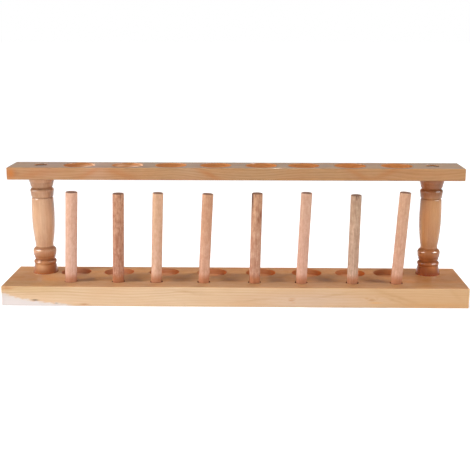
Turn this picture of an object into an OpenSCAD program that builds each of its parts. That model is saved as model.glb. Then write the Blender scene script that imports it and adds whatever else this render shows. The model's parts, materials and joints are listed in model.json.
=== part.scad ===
// Wooden test tube rack. A base board carries two turned posts, and the posts carry a
// drilled rail. Under each hole in the rail the base has a shallow round recess for the
// end of the tube. A row of drying pegs stands in front, each loose in its own socket.
//
// Millimetres. The origin is the middle of the underside, +X runs along the rack to the
// right, +Y points to the back, where rail and base are flush, and +Z is up.

/* [Boards] */
// Thickness of the base board
base_thick = 14; // [11:0.5:24]
// How far the base reaches past each end of the rail
base_overhang = 1.1; // [0:0.1:20]
// Depth of the strip of base in front of the rail
front_strip = 25.5; // [20:0.5:50]
// Thickness of the rail
rail_thick = 8.6; // [6:0.1:16]
// Wood left between the tube holes and the long edges of the rail
rail_margin = 3.15; // [3:0.05:12]
// Distance from a post's axis to the end of the rail
rail_overhang = 20.8; // [14:0.1:40]
// Size of the small flat that eases every edge of both boards
edge_ease = 0.6; // [0.2:0.1:1.5]

/* [Tube places] */
// Diameter of the tube holes in the rail
tube_hole_d = 22.2; // [12:0.1:26]
// Distance from one tube place to the next, as marked out
tube_pitch = 31.8; // [31:0.1:50]
// How much narrower than the tube hole the recess in the base is
recess_narrower = 0.7; // [0:0.1:4]
// Depth of the recess in the base
recess_depth = 4; // [2:0.5:7]
// Distance from the last tube place to the axis of the post
post_gap = 27.3; // [25:0.1:50]

/* [Turned posts] */
// Height of a post, from the base to the rail
post_height = 69.8; // [60:0.1:140]
// Diameter of the foot where it stands on the base
foot_d = 18; // [17:0.1:20]
// Diameter at the ankle, where the flared foot meets the low bead
ankle_d = 15; // [14:0.1:16]
// Diameter of the low bead
low_bead_d = 16.2; // [16:0.1:20]
// Diameter in the groove over the low bead
low_groove_d = 13.6; // [12:0.1:15]
// Diameter of the cup and of the upper bead
bead_d = 16.6; // [16.2:0.1:20]
// Diameter of the neck
neck_d = 12.6; // [11:0.1:14]
// Diameter of the vase at its belly
vase_d = 16; // [15.6:0.1:20]
// Diameter of the vase at its upper end
vase_top_d = 15.2; // [14.8:0.1:15.5]
// Diameter in the upper grooves
groove_d = 14.4; // [12:0.1:14.7]
// Diameter of the collar under the rail
collar_d = 17.6; // [16:0.1:20]
// How much thinner the right post is turned than the left one
right_post_thinner = 0.6; // [0:0.1:1]

/* [Drying pegs] */
// Diameter of a peg
peg_d = 7.6; // [6:0.1:10]
// Length of a peg
peg_len = 72; // [40:1:76]
// Distance from the front of the base to the peg row
peg_inset = 14.4; // [10:0.1:16]
// Wood left under a peg's socket
socket_floor = 5; // [3:0.5:6]
// How much wider than a peg its socket is
peg_play = 1.2; // [0.8:0.1:2]
// How much the foot of a peg is thinned to drop into its socket
foot_taper = 0.8; // [0.4:0.1:2]
// How far up the thinned foot shows above the base
foot_show = 1; // [0.5:0.1:4]
// Size of the bevel round the top of a peg
peg_bevel = 0.4; // [0.2:0.1:1]

/* [Screws] */
// Diameter of the screws' shanks
screw_d = 4; // [3:0.1:5]
// Diameter of the screws' countersunk heads
screw_head_d = 8; // [6.5:0.1:9]
// How deep the heads lie under the face of the wood
screw_sink = 1; // [0.5:0.1:2]
// Length of the screws through the rail
rail_screw_len = 28; // [20:1:36]
// Length of the screws through the base
base_screw_len = 32; // [25:1:40]

/* [Hidden] */

$fn = 96;

// Wood colours, by eye
PALE_PINE = [0.85, 0.70, 0.53];
WARM_PINE = [0.80, 0.62, 0.43];
BARE_PEG = [0.85, 0.66, 0.54];
STEEL = [0.72, 0.72, 0.74];

// The rack was drilled by eye. These are the strays of each hole in the rail and of each
// recess in the base from its marked place, towards +X.
hole_strays = [0.5, 3, 2, 2, 2.5, 0.5, 1.5, 2.5];
recess_strays = [-4.5, -5, -4, -1, 2.5, 4, 3.5, -0.5];
// Both posts stray the same way
post_stray = 0.4;

// One row for each peg: the stray of its socket, its lean to the right in degrees, and how
// much longer and how much thicker it is than the others.
pegs = [
    [-3.5, 2.5, 0.5, 0.6],
    [-2.0, 1.5, -0.5, 0.3],
    [-7.1, 2.0, 0.0, -0.2],
    [-5.7, 3.0, -0.5, 0.0],
    [-2.0, 1.5, 0.0, -0.1],
    [-1.2, 2.5, 0.5, 0.0],
    [2.5, 1.0, -1.0, -0.1],
    [1.3, 3.5, 1.0, 0.2]
];

places = len(hole_strays);
last_place_x = (places - 1) / 2 * tube_pitch;
post_x = last_place_x + post_gap;
rail_len = 2 * (post_x + rail_overhang);
rail_depth = tube_hole_d + 2 * rail_margin;
rail_z = base_thick + post_height;
base_len = rail_len + 2 * base_overhang;
base_depth = rail_depth + front_strip;
rail_y = (base_depth - rail_depth) / 2;
peg_y = -base_depth / 2 + peg_inset;
recess_d = tube_hole_d - recess_narrower;
socket_d = peg_d + peg_play;
socket_depth = base_thick - socket_floor;

// Heights on the post, from its foot. The vase takes up what the turnings leave.
ankle_z = 6.5;
low_bead_z = 7.9;
low_bead_half = 1.7;
low_groove_z = 10.2;
cup_rim_z = 12.8;
cup_z = 15.9;
cup_half = 2.9;
neck_z = 21;
belly_below_top = 28.3;
top_groove_below_top = 14.5;
top_bead_below_top = 9.6;
top_bead_half = 1.9;
collar_groove_below_top = 7.3;
collar_below_top = 3.2;
groove_half = 0.5;
foot_edge = 1;
foot_draws_in = 0.2;
turning_step = 0.5;
cup_rim_step = 0.35;
collar_lip = 0.3;
collar_lip_height = 0.6;

screw_play = 0.1;
screw_tip_len = 4;
screw_tip_r = 0.4;
head_edge = 0.4;
well_d = screw_head_d + 1.4;
pilot_extra = 1;
slot_len = 0.55 * screw_head_d;
slot_w = 1.1;
slot_depth = 1.4;

// How far a cut reaches past the face that it opens
past = 1;

function place_x(k) = k * tube_pitch - last_place_x;
function hole_x(k) = place_x(k) + hole_strays[k];
function recess_x(k) = place_x(k) + recess_strays[k];
function peg_x(k) = place_x(k) + pegs[k][0];
function peg_lean(k) = pegs[k][1];
function peg_length(k) = peg_len + pegs[k][2];
function peg_thickness(k) = peg_d + pegs[k][3];

// Radius of the circle that rises by sag over a half chord
function arc_radius(half_chord, sag) = (half_chord * half_chord + sag * sag) / (2 * sag);

// An outline with its four corners cut off
module eased_outline(w, d) {
    polygon([
        [-w / 2 + edge_ease, -d / 2], [w / 2 - edge_ease, -d / 2],
        [w / 2, -d / 2 + edge_ease], [w / 2, d / 2 - edge_ease],
        [w / 2 - edge_ease, d / 2], [-w / 2 + edge_ease, d / 2],
        [-w / 2, d / 2 - edge_ease], [-w / 2, -d / 2 + edge_ease]
    ]);
}

// A board with all its edges eased, its underside at z = 0
module board(length, depth, thick) {
    translate([0, 0, thick / 2])
    intersection() {
        linear_extrude(thick, center = true) eased_outline(length, depth);
        rotate([90, 0, 90]) linear_extrude(length, center = true) eased_outline(depth, thick);
        rotate([90, 0, 0]) linear_extrude(depth, center = true) eased_outline(length, thick);
    }
}

// Puts its children on one post's axis at height z. The side is -1 for left, 1 for right.
module at_post(side, z) {
    translate([side * post_x + post_stray, rail_y, z]) children();
}

// Puts its children on peg k's own leaning axis, with z = 0 on the floor of the socket
module at_peg(k) {
    translate([peg_x(k), peg_y, base_thick])
    rotate([0, peg_lean(k), 0])
    translate([0, 0, -socket_depth])
        children();
}

// A countersunk screw that points down, with the flat of its head at z = 0. The room
// round it, grown by play, cuts the hole that it goes through.
module screw_body(length, play) {
    neck = (screw_head_d - screw_d) / 2;
    r = screw_d / 2 + play;
    rotate_extrude()
    polygon([
        [0, 0], [screw_head_d / 2 + play, 0], [screw_head_d / 2 + play, -head_edge],
        [r, -head_edge - neck], [r, -length + screw_tip_len], [screw_tip_r + play, -length],
        [0, -length]
    ]);
}

// The hole for such a screw: a round well down to the head, its seat and the pilot
module screw_hole(length) {
    screw_body(length, screw_play);
    cylinder(h = screw_sink + past, d = well_d);
    translate([0, 0, -length - pilot_extra])
        cylinder(h = length - head_edge, d = screw_d + 2 * screw_play);
}

// A screw with a cross slot in its head
module screw(length) {
    difference() {
        screw_body(length, 0);
        for (turn = [0, 90])
            rotate(turn) cube([slot_len, slot_w, 2 * slot_depth], center = true);
    }
}

module at_rail_screw(side) {
    at_post(side, rail_z + rail_thick - screw_sink) children();
}

module at_base_screw(side) {
    at_post(side, screw_sink) rotate([180, 0, 0]) children();
}

// The part of the vase between two heights, cut from one circle. The circle is widest at
// the belly, and is end_d wide at a distance of reach from it.
module vase_part(from_z, to_z, belly_z, reach, end_d) {
    r = arc_radius(reach, (vase_d - end_d) / 2);
    intersection() {
        translate([vase_d / 2 - r, belly_z]) circle(r, $fn = 720);
        translate([0, from_z]) square([vase_d, to_z - from_z]);
    }
}

// The half outline of a turned post, as the turner cuts it from the foot up
module post_outline() {
    vase_top = post_height - top_groove_below_top;
    vase_end = vase_top - groove_half;
    belly_z = post_height - belly_below_top;
    collar_groove_z = post_height - collar_groove_below_top;
    collar_z = post_height - collar_below_top;
    top_bead_z = post_height - top_bead_below_top;
    // the flared foot, which draws in to the ankle
    polygon([
        [0, 0], [foot_d / 2, 0], [foot_d / 2 - foot_draws_in, foot_edge],
        [ankle_d / 2, ankle_z], [0, ankle_z]
    ]);
    // the core that shows in the grooves and at the neck
    square([low_groove_d / 2, cup_z]);
    square([neck_d / 2, post_height]);
    translate([0, vase_end]) square([groove_d / 2, post_height - vase_end]);
    // the low bead
    translate([low_bead_d / 2 - low_bead_half, low_bead_z]) circle(low_bead_half);
    translate([0, low_bead_z - low_bead_half])
        square([low_bead_d / 2 - low_bead_half, 2 * low_bead_half]);
    // the cup: a cone that opens upwards to a rim, and a round shoulder over it
    polygon([
        [0, low_groove_z + groove_half],
        [low_groove_d / 2 + turning_step, low_groove_z + groove_half],
        [bead_d / 2 - 2 * cup_rim_step, cup_rim_z], [bead_d / 2 - cup_rim_step, cup_rim_z],
        [bead_d / 2, cup_z], [0, cup_z]
    ]);
    translate([bead_d / 2 - cup_half, cup_z]) circle(cup_half);
    translate([0, cup_z - cup_half]) square([bead_d / 2 - cup_half, 2 * cup_half]);
    // the vase: a short arc runs down into the neck, and a long one up to the groove
    vase_part(cup_z, belly_z, belly_z, belly_z - neck_z, neck_d);
    vase_part(belly_z, vase_end, belly_z, vase_end - belly_z, vase_top_d);
    // the bead over the vase, drawn out to a thin foot below
    polygon([
        [0, vase_top + groove_half], [groove_d / 2 + turning_step, vase_top + groove_half],
        [bead_d / 2, top_bead_z], [0, top_bead_z]
    ]);
    translate([bead_d / 2 - top_bead_half, top_bead_z]) circle(top_bead_half);
    translate([0, top_bead_z - top_bead_half])
        square([bead_d / 2 - top_bead_half, 2 * top_bead_half]);
    // the collar, which swells out of its groove and stands straight under the rail
    polygon([
        [0, collar_groove_z + groove_half],
        [groove_d / 2 + turning_step, collar_groove_z + groove_half],
        [collar_d / 2 - collar_lip, collar_z], [collar_d / 2, collar_z + collar_lip_height],
        [collar_d / 2, post_height], [0, post_height]
    ]);
}

module post(side, thinner) {
    difference() {
        at_post(side, base_thick) rotate_extrude() intersection() {
            translate([-thinner / 2, 0]) post_outline();
            square([collar_d + foot_d, post_height]);
        }
        at_rail_screw(side) screw_hole(rail_screw_len);
        at_base_screw(side) screw_hole(base_screw_len);
    }
}

module base_board() {
    color(PALE_PINE)
    difference() {
        board(base_len, base_depth, base_thick);
        for (k = [0:places - 1]) {
            translate([recess_x(k), rail_y, base_thick - recess_depth])
                cylinder(h = recess_depth + past, d = recess_d);
            at_peg(k) cylinder(h = socket_depth + past, d = socket_d);
        }
        for (side = [-1, 1])
            at_base_screw(side) screw_hole(base_screw_len);
    }
}

module top_rail() {
    color(WARM_PINE)
    difference() {
        translate([0, rail_y, rail_z]) board(rail_len, rail_depth, rail_thick);
        for (k = [0:places - 1])
            translate([hole_x(k), rail_y, rail_z - past])
                cylinder(h = rail_thick + 2 * past, d = tube_hole_d);
        for (side = [-1, 1])
            at_rail_screw(side) screw_hole(rail_screw_len);
    }
}

module left_post() {
    color(PALE_PINE) post(-1, 0);
}

module right_post() {
    color(WARM_PINE) post(1, right_post_thinner);
}

// A dowel with a bevelled top, thinned at the foot to a little above its socket
module drying_peg(number) {
    k = number - 1;
    r = peg_thickness(k) / 2;
    color(BARE_PEG)
    at_peg(k)
    rotate_extrude()
    polygon([
        [0, 0], [r - foot_taper / 2, 0], [r, socket_depth + foot_show],
        [r, peg_length(k) - peg_bevel], [r - peg_bevel, peg_length(k)], [0, peg_length(k)]
    ]);
}

module rail_screw(side) {
    color(STEEL) at_rail_screw(side) screw(rail_screw_len);
}

module base_screw(side) {
    color(STEEL) at_base_screw(side) screw(base_screw_len);
}

base_board();
top_rail();
left_post();
right_post();
drying_peg(1);  // drying_peg_1
drying_peg(2);  // drying_peg_2
drying_peg(3);  // drying_peg_3
drying_peg(4);  // drying_peg_4
drying_peg(5);  // drying_peg_5
drying_peg(6);  // drying_peg_6
drying_peg(7);  // drying_peg_7
drying_peg(8);  // drying_peg_8
rail_screw(-1);  // rail_screw_left
rail_screw(1);  // rail_screw_right
base_screw(-1);  // base_screw_left
base_screw(1);  // base_screw_right
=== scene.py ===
"""Looks of a wooden test tube rack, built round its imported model.

A base board carries two turned posts, and the posts carry a drilled rail. Eight drying pegs
stand loose in front, and four screws hold the rack together. Each piece is a surface worked
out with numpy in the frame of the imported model, in metres, and each finish is a procedural
material that follows the timber of its own piece.
"""

import json
import logging
import math
from dataclasses import dataclass
from enum import Enum

import bmesh
import bpy
import numpy as np
from mathutils import Euler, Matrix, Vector


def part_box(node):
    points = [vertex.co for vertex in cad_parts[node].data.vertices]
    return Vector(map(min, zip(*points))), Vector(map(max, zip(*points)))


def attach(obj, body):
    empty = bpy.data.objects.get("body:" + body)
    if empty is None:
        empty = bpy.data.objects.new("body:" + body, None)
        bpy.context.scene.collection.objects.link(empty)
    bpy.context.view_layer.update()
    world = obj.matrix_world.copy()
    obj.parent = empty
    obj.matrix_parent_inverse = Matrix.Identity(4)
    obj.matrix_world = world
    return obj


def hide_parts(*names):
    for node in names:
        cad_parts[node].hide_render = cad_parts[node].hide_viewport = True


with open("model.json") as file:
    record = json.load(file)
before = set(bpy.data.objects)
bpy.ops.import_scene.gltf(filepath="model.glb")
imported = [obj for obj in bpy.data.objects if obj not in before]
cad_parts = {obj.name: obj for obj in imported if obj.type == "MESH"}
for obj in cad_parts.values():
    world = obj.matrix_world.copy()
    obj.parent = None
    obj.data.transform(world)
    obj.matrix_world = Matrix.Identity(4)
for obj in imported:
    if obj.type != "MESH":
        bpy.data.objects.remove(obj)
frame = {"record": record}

log = logging.getLogger("rack")

# Linear colours, and other rows of three numbers.
Colour = tuple[float, float, float]
Triple = tuple[float, float, float]
Span = tuple[float, float]
Array = np.ndarray
Socket = bpy.types.NodeSocket
Piece = bpy.types.Object

MM = 0.001
RACK = "rack"
SIDES = ("left", "right")
PLACES = 8

# What the mount of a peg's shaft leaves out at the foot and at the top.
PEG_LEAD = 10.0 * MM
PEG_BEVEL = 0.4 * MM

# The attribute of a mesh that holds how deep or dark each point lies in a hole or a groove.
MARK = "mark"


@dataclass(frozen=True)
class ImagePoint:
    """A place in the photograph, in pixels; an edge of the rack has one coordinate only."""

    x: float | None = None
    y: float | None = None


PHOTO_SIZE = (470, 470)
IMAGE_POINTS = {
    "left_edge": ImagePoint(x=0.5),
    "right_edge": ImagePoint(x=468.6),
    "top_edge": ImagePoint(y=161.5),
    "bottom_edge": ImagePoint(y=307.7),
    "base_front_top_left": ImagePoint(1.2, 286.2),
    "base_front_top_right": ImagePoint(468.6, 288.9),
    "base_front_bottom_right": ImagePoint(468.3, 307.7),
    "base_back_top_left": ImagePoint(21.3, 266.5),
    "base_back_top_right": ImagePoint(453.2, 268.2),
    "rail_front_top_left": ImagePoint(6.8, 167.7),
    "rail_front_top_right": ImagePoint(465.8, 169.0),
    "rail_back_top_left": ImagePoint(17.0, 161.6),
    "rail_back_top_right": ImagePoint(456.0, 163.0),
    "first_peg_top": ImagePoint(71.2, 191.0),
    "last_peg_top": ImagePoint(405.8, 191.2),
    "rail_end_knot": ImagePoint(10.5, 174.0),
    "base_pin_knot": ImagePoint(291.8, 300.0),
    "base_nick": ImagePoint(35.0, 300.0),
}


class GrainAxis(Enum):
    """The axis of the rack that the grain runs along, as the turn that brings it to X."""

    ALONG_X = (0.0, 0.0, 0.0)
    ALONG_Z = (0.0, math.radians(90), 0.0)


class Blend(Enum):
    """How a colour joins the wood: it covers the wood, or multiplies it and leaves the grain."""

    COVER = "MIX"
    MULTIPLIED = "MULTIPLY"


def srgb(red: int, green: int, blue: int) -> Colour:
    """Turns a screen colour into a linear one.

    Args:
        red, green, blue: the screen colour's channels, 0 to 255.

    Returns:
        The three channels as linear light, 0 to 1.
    """
    share = np.array([red, green, blue]) / 255.0
    linear = np.where(share <= 0.04045, share / 12.92, ((share + 0.055) / 1.055) ** 2.4)
    return tuple(float(channel) for channel in linear)


# ---------------- meshes


class MeshDraft:
    """Grids of points that are welded into one closed mesh."""

    WELD = 1e-6

    def __init__(self) -> None:
        """Starts with no points."""
        self.points: list[Array] = []
        self.quads: list[Array] = []
        self.marks: list[Array] = []
        self.count = 0

    def grid(
        self, points: Array, closed: bool = False, marks: Array | None = None
    ) -> None:
        """Adds a sheet of quads through a grid of points.

        Args:
            points: rows by columns by 3, in metres.
            closed: joins the last column to the first.
            marks: a number for each point, such as how deep it lies in a groove.
        """
        rows, columns = points.shape[:2]
        across = np.arange(columns if closed else columns - 1)
        row, column = np.meshgrid(np.arange(rows - 1), across, indexing="ij")
        beside = (column + 1) % columns
        near, far = row * columns, (row + 1) * columns
        corners = [near + column, far + column, far + beside, near + beside]
        self.quads.append(np.stack(corners, axis=-1).reshape(-1, 4) + self.count)
        self.points.append(points.reshape(-1, 3))
        self.marks.append(np.zeros(rows * columns) if marks is None else marks.reshape(-1))
        self.count += rows * columns

    def weld(self) -> tuple[Array, Array, list[list[int]]]:
        """Joins points that lie together, and drops what collapses.

        Returns:
            The points, their marks and the faces, as triangles and quads.
        """
        points = np.concatenate(self.points)
        marks = np.concatenate(self.marks)
        cells = np.round(points / self.WELD).astype(np.int64)
        _, first, place = np.unique(cells, axis=0, return_index=True, return_inverse=True)
        quads = place.reshape(-1)[np.concatenate(self.quads)]
        same = quads == np.roll(quads, -1, axis=1)
        faces = quads[~same.any(axis=1)].tolist()
        for corner in range(4):
            kept = [k for k in range(4) if k != corner]
            pinched = same[:, corner] & (same.sum(axis=1) == 1)
            faces += quads[pinched][:, kept].tolist()
        return points[first], marks[first], faces

    def build(self, name: str, body: str, slot: str, sharp_degrees: float) -> Piece:
        """Makes the object, with its faces outwards, and sets it on its body.

        Args:
            name: the object's name.
            body: the body that it rides on.
            slot: a material slot's name; not used.
            sharp_degrees: edges that turn by more than this stay sharp.

        Returns:
            The object, at the origin.
        """
        points, marks, faces = self.weld()
        mesh = bpy.data.meshes.new(name)
        mesh.from_pydata(points, [], faces)
        draft = bmesh.new()
        draft.from_mesh(mesh)
        bmesh.ops.recalc_face_normals(draft, faces=draft.faces)
        open_edges = sum(not edge.is_manifold for edge in draft.edges)
        draft.to_mesh(mesh)
        draft.free()
        if open_edges:
            log.warning("%s: %d open edges", name, open_edges)
        mesh.attributes.new(MARK, "FLOAT", "POINT").data.foreach_set("value", marks)
        mesh.shade_smooth()
        mesh.set_sharp_from_angle(angle=math.radians(sharp_degrees))
        piece = bpy.data.objects.new(name, mesh)
        bpy.context.scene.collection.objects.link(piece)
        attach(piece, body)
        return piece


def revolve(
    profile: Array, centre: Vector, axis: Vector = Vector((0, 0, 1)), segments: int = 96
) -> Array:
    """Works out a turned surface.

    A point is the centre, plus its row's height along the axis, plus its row's radius along a
    direction that turns once round the axis.

    Args:
        profile: rows of radius and height.
        centre: where height is zero.
        axis: the direction of height, of length one.
        segments: how many columns go round.

    Returns:
        Points, rows by segments by 3.
    """
    turn = np.linspace(0, 2 * math.pi, segments, endpoint=False)
    along = np.array(axis)
    side = np.cross((0.0, 1.0, 0.0), along)
    side /= np.linalg.norm(side)
    across = np.cross(along, side)
    spoke = np.cos(turn)[:, None] * side + np.sin(turn)[:, None] * across
    lift = profile[:, 1, None, None] * along
    return np.array(centre) + lift + profile[:, 0, None, None] * spoke


def rows_of(*columns: Array | float) -> Array:
    """Returns columns side by side, as rows; a single number fills its column."""
    return np.stack(np.broadcast_arrays(*columns), axis=-1)


def arc(
    centre: tuple[float, float], radius: float, start: float, end: float, steps: int
) -> Array:
    """Returns rows of radius and height along an arc, from one angle in degrees to another."""
    angle = np.radians(np.linspace(start, end, steps))
    return rows_of(centre[0] + radius * np.cos(angle), centre[1] + radius * np.sin(angle))


def rim_rings(radius: float, depth: float, ease: float) -> Array:
    """Lists the rings of a drilled wall whose rim is rounded.

    Args:
        radius, depth: the hole's size.
        ease: radius of the rounded rim.

    Returns:
        Rows of radius and depth, from the rim down.
    """
    rim = arc((radius + ease, -ease), ease, 90, 180, 5) * np.array([1, -1])
    wall = np.linspace(ease + 0.1 * MM, depth, 8)
    return np.concatenate([rim, rows_of(radius, wall)])


def turned_over(rings: Array, thick: float) -> Array:
    """Returns a hole's rings as they are from the other face of its board."""
    return (rings * [1, -1] + [0, thick])[::-1]


@dataclass(frozen=True)
class Hole:
    """A round hole in a board, whose wall is a pile of rings from the top down.

    Attributes:
        x, y: its middle, at the board's top.
        rings: rows of radius and depth.
        through: whether it goes through the board.
        lean: its lean towards +X, in radians.
        dark: what is added to its shade: 1 in a hole whose walls are painted dark as shade.
    """

    x: float
    y: float
    rings: Array
    through: bool = False
    lean: float = 0.0
    dark: float = 0.0

    def ring(self, row: int, angle: Array, top: float) -> Array:
        """Works out a ring: a circle, moved sideways by its depth times the lean's tangent.

        Args:
            row: the ring's place in the pile.
            angle: directions from the middle.
            top: height of the board's top.

        Returns:
            A point for each angle.
        """
        radius, depth = self.rings[row]
        x = self.x - depth * math.tan(self.lean) + radius / math.cos(self.lean) * np.cos(angle)
        y = self.y + radius * np.sin(angle)
        return rows_of(x, y, top - depth)

    def shade(self, angle: Array) -> Array:
        """Finds how dark the wall is inside the hole.

        It grows from none at a rim, by the cosine's square on the end grain, left and right,
        and a little more on the right wall, which is painted shade.

        Args:
            angle: directions from the middle.

        Returns:
            Shares from 0 to 1 for each ring and angle, and one more in a dark hole.
        """
        radius, depth = self.rings.T
        if self.through:
            depth = np.minimum(depth, depth[-1] - depth)
        inside = np.clip(depth / (0.4 * MM), 0, 1)
        # The cosine's square is the end grain's tone; the cosine alone darkens the right wall as painted
        # shade.
        end_grain_and_shade = 0.3 * np.cos(angle) ** 2 + 0.1 * np.cos(angle)
        wall = (radius / radius.max())[:, None] ** 4
        # In a dark hole the shade gains one, which paints its walls dark as shade.
        return inside[:, None] * (self.dark + 0.6 + wall * end_grain_and_shade)


@dataclass
class DrilledBoard:
    """A board with rounded edges, cut into cells that hold one hole each or none.

    Attributes:
        low, high: its corners.
        ease: radius of its rounded edges.
        x_breaks, y_breaks: where the cells meet.
        holes: its holes.
        step: about how far apart the points of a flat face lie.
        margin: how far the first and last of them lie from the rounded edges.
    """

    low: Vector
    high: Vector
    ease: float
    x_breaks: list[float]
    y_breaks: list[float]
    holes: list[Hole]
    step: float = 1.1 * MM
    margin: float = 0.12 * MM

    def samples(self, breaks: list[float], low: float, high: float) -> list[Array]:
        """Spreads points along each cell's side, close together beside the rounded edges.

        Args:
            breaks: where the cells meet.
            low, high: where the flat face ends.

        Returns:
            The places, cell by cell.
        """
        ends = [low, *breaks, high]
        sides = []
        for start, end in zip(ends[:-1], ends[1:]):
            side = np.linspace(start, end, max(3, round((end - start) / self.step) + 1))
            if start == low:
                side = np.insert(side, 1, low + self.margin)
            if end == high:
                side = np.insert(side, -1, high - self.margin)
            sides.append(side)
        return sides

    @staticmethod
    def sides(xs: Array, ys: Array) -> list[Array]:
        """Returns rows of x and y for each side of a rectangle, from its lowest corner round."""
        sides = (xs, ys[:1]), (xs[-1:], ys), (xs[::-1], ys[-1:]), (xs[:1], ys[::-1])
        return [rows_of(x, y) for x, y in sides]

    @staticmethod
    def fan(draft: MeshDraft, circle: Array, outline: Array, z: float) -> None:
        """Adds the flat round a hole: its circle plus growing shares of the way to the outline.

        Args:
            draft: takes the faces.
            circle, outline: rows of points, equally many.
            z: height of the face.
        """
        share = np.concatenate([[0.0, 0.02], np.linspace(0.02, 1.0, 7)[1:] ** 1.3])
        rings = circle[None, :, :2] + share[:, None, None] * (outline - circle[:, :2])[None]
        flat = np.concatenate([rings, np.full(rings.shape[:2] + (1,), z)], axis=-1)
        draft.grid(flat, closed=True)

    def cell(self, draft: MeshDraft, xs: Array, ys: Array) -> None:
        """Adds both faces of one cell, with the hole that it holds, if any.

        Args:
            draft: takes the faces.
            xs, ys: the places along its sides.
        """
        inside = [h for h in self.holes if xs[0] < h.x < xs[-1] and ys[0] < h.y < ys[-1]]
        plain = np.stack(np.meshgrid(xs, ys, indexing="ij"), axis=-1)
        bottom = np.concatenate([plain, np.full(plain.shape[:2] + (1,), self.low.z)], axis=-1)
        if not inside:
            draft.grid(bottom)
            draft.grid(bottom + np.array([0, 0, self.high.z - self.low.z]))
            return
        hole = inside[0]
        outline = np.concatenate([side[:-1] for side in self.sides(xs, ys)])
        angle = np.arctan2(outline[:, 1] - hole.y, outline[:, 0] - hole.x)
        rings = [hole.ring(row, angle, self.high.z) for row in range(len(hole.rings))]
        draft.grid(np.stack(rings), closed=True, marks=hole.shade(angle))
        self.fan(draft, rings[0], outline, self.high.z)
        if hole.through:
            self.fan(draft, rings[-1], outline, self.low.z)
        else:
            draft.grid(bottom)

    def rim(self, draft: MeshDraft, xs: Array, ys: Array) -> None:
        """Adds the sides: a rounded profile carried once round the board's outline.

        At a corner the outward direction turns by a quarter, which rounds the upright edge too.

        Args:
            draft: takes the faces.
            xs, ys: the places along the flat face's sides.
        """
        turns = np.radians(np.linspace(0, 90, 5))
        feet, outward = [], []
        for number, places in enumerate(self.sides(xs, ys)):
            start = math.radians(90 * number - 90)
            feet += [places, np.repeat(places[-1:], len(turns) - 2, axis=0)]
            outward += [np.full(len(places), start), start + turns[1:-1]]
        foot = np.concatenate(feet)
        heading = np.concatenate(outward)
        direction = rows_of(np.cos(heading), np.sin(heading))
        height = self.high.z - self.low.z
        upper = arc((0.0, height - self.ease), self.ease, 90, 0, 6)
        lower = arc((0.0, self.ease), self.ease, 0, -90, 6)
        face = np.linspace(height - self.ease - self.margin, self.ease + self.margin, 12)
        side = rows_of(self.ease, face)
        profile = np.concatenate([upper, side, lower])
        flat = foot[None] + profile[:, 0, None, None] * direction[None]
        z = np.broadcast_to(self.low.z + profile[:, 1, None, None], flat.shape[:2] + (1,))
        draft.grid(np.concatenate([flat, z], axis=-1), closed=True)

    def draft(self) -> MeshDraft:
        """Adds the cells and the rim.

        Returns:
            All the board's surfaces, ready to weld.
        """
        draft = MeshDraft()
        x_sides = self.samples(self.x_breaks, self.low.x + self.ease, self.high.x - self.ease)
        y_sides = self.samples(self.y_breaks, self.low.y + self.ease, self.high.y - self.ease)
        for xs in x_sides:
            for ys in y_sides:
                self.cell(draft, xs, ys)
        self.rim(draft, np.unique(np.concatenate(x_sides)), np.unique(np.concatenate(y_sides)))
        return draft


# ---------------- materials


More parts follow.
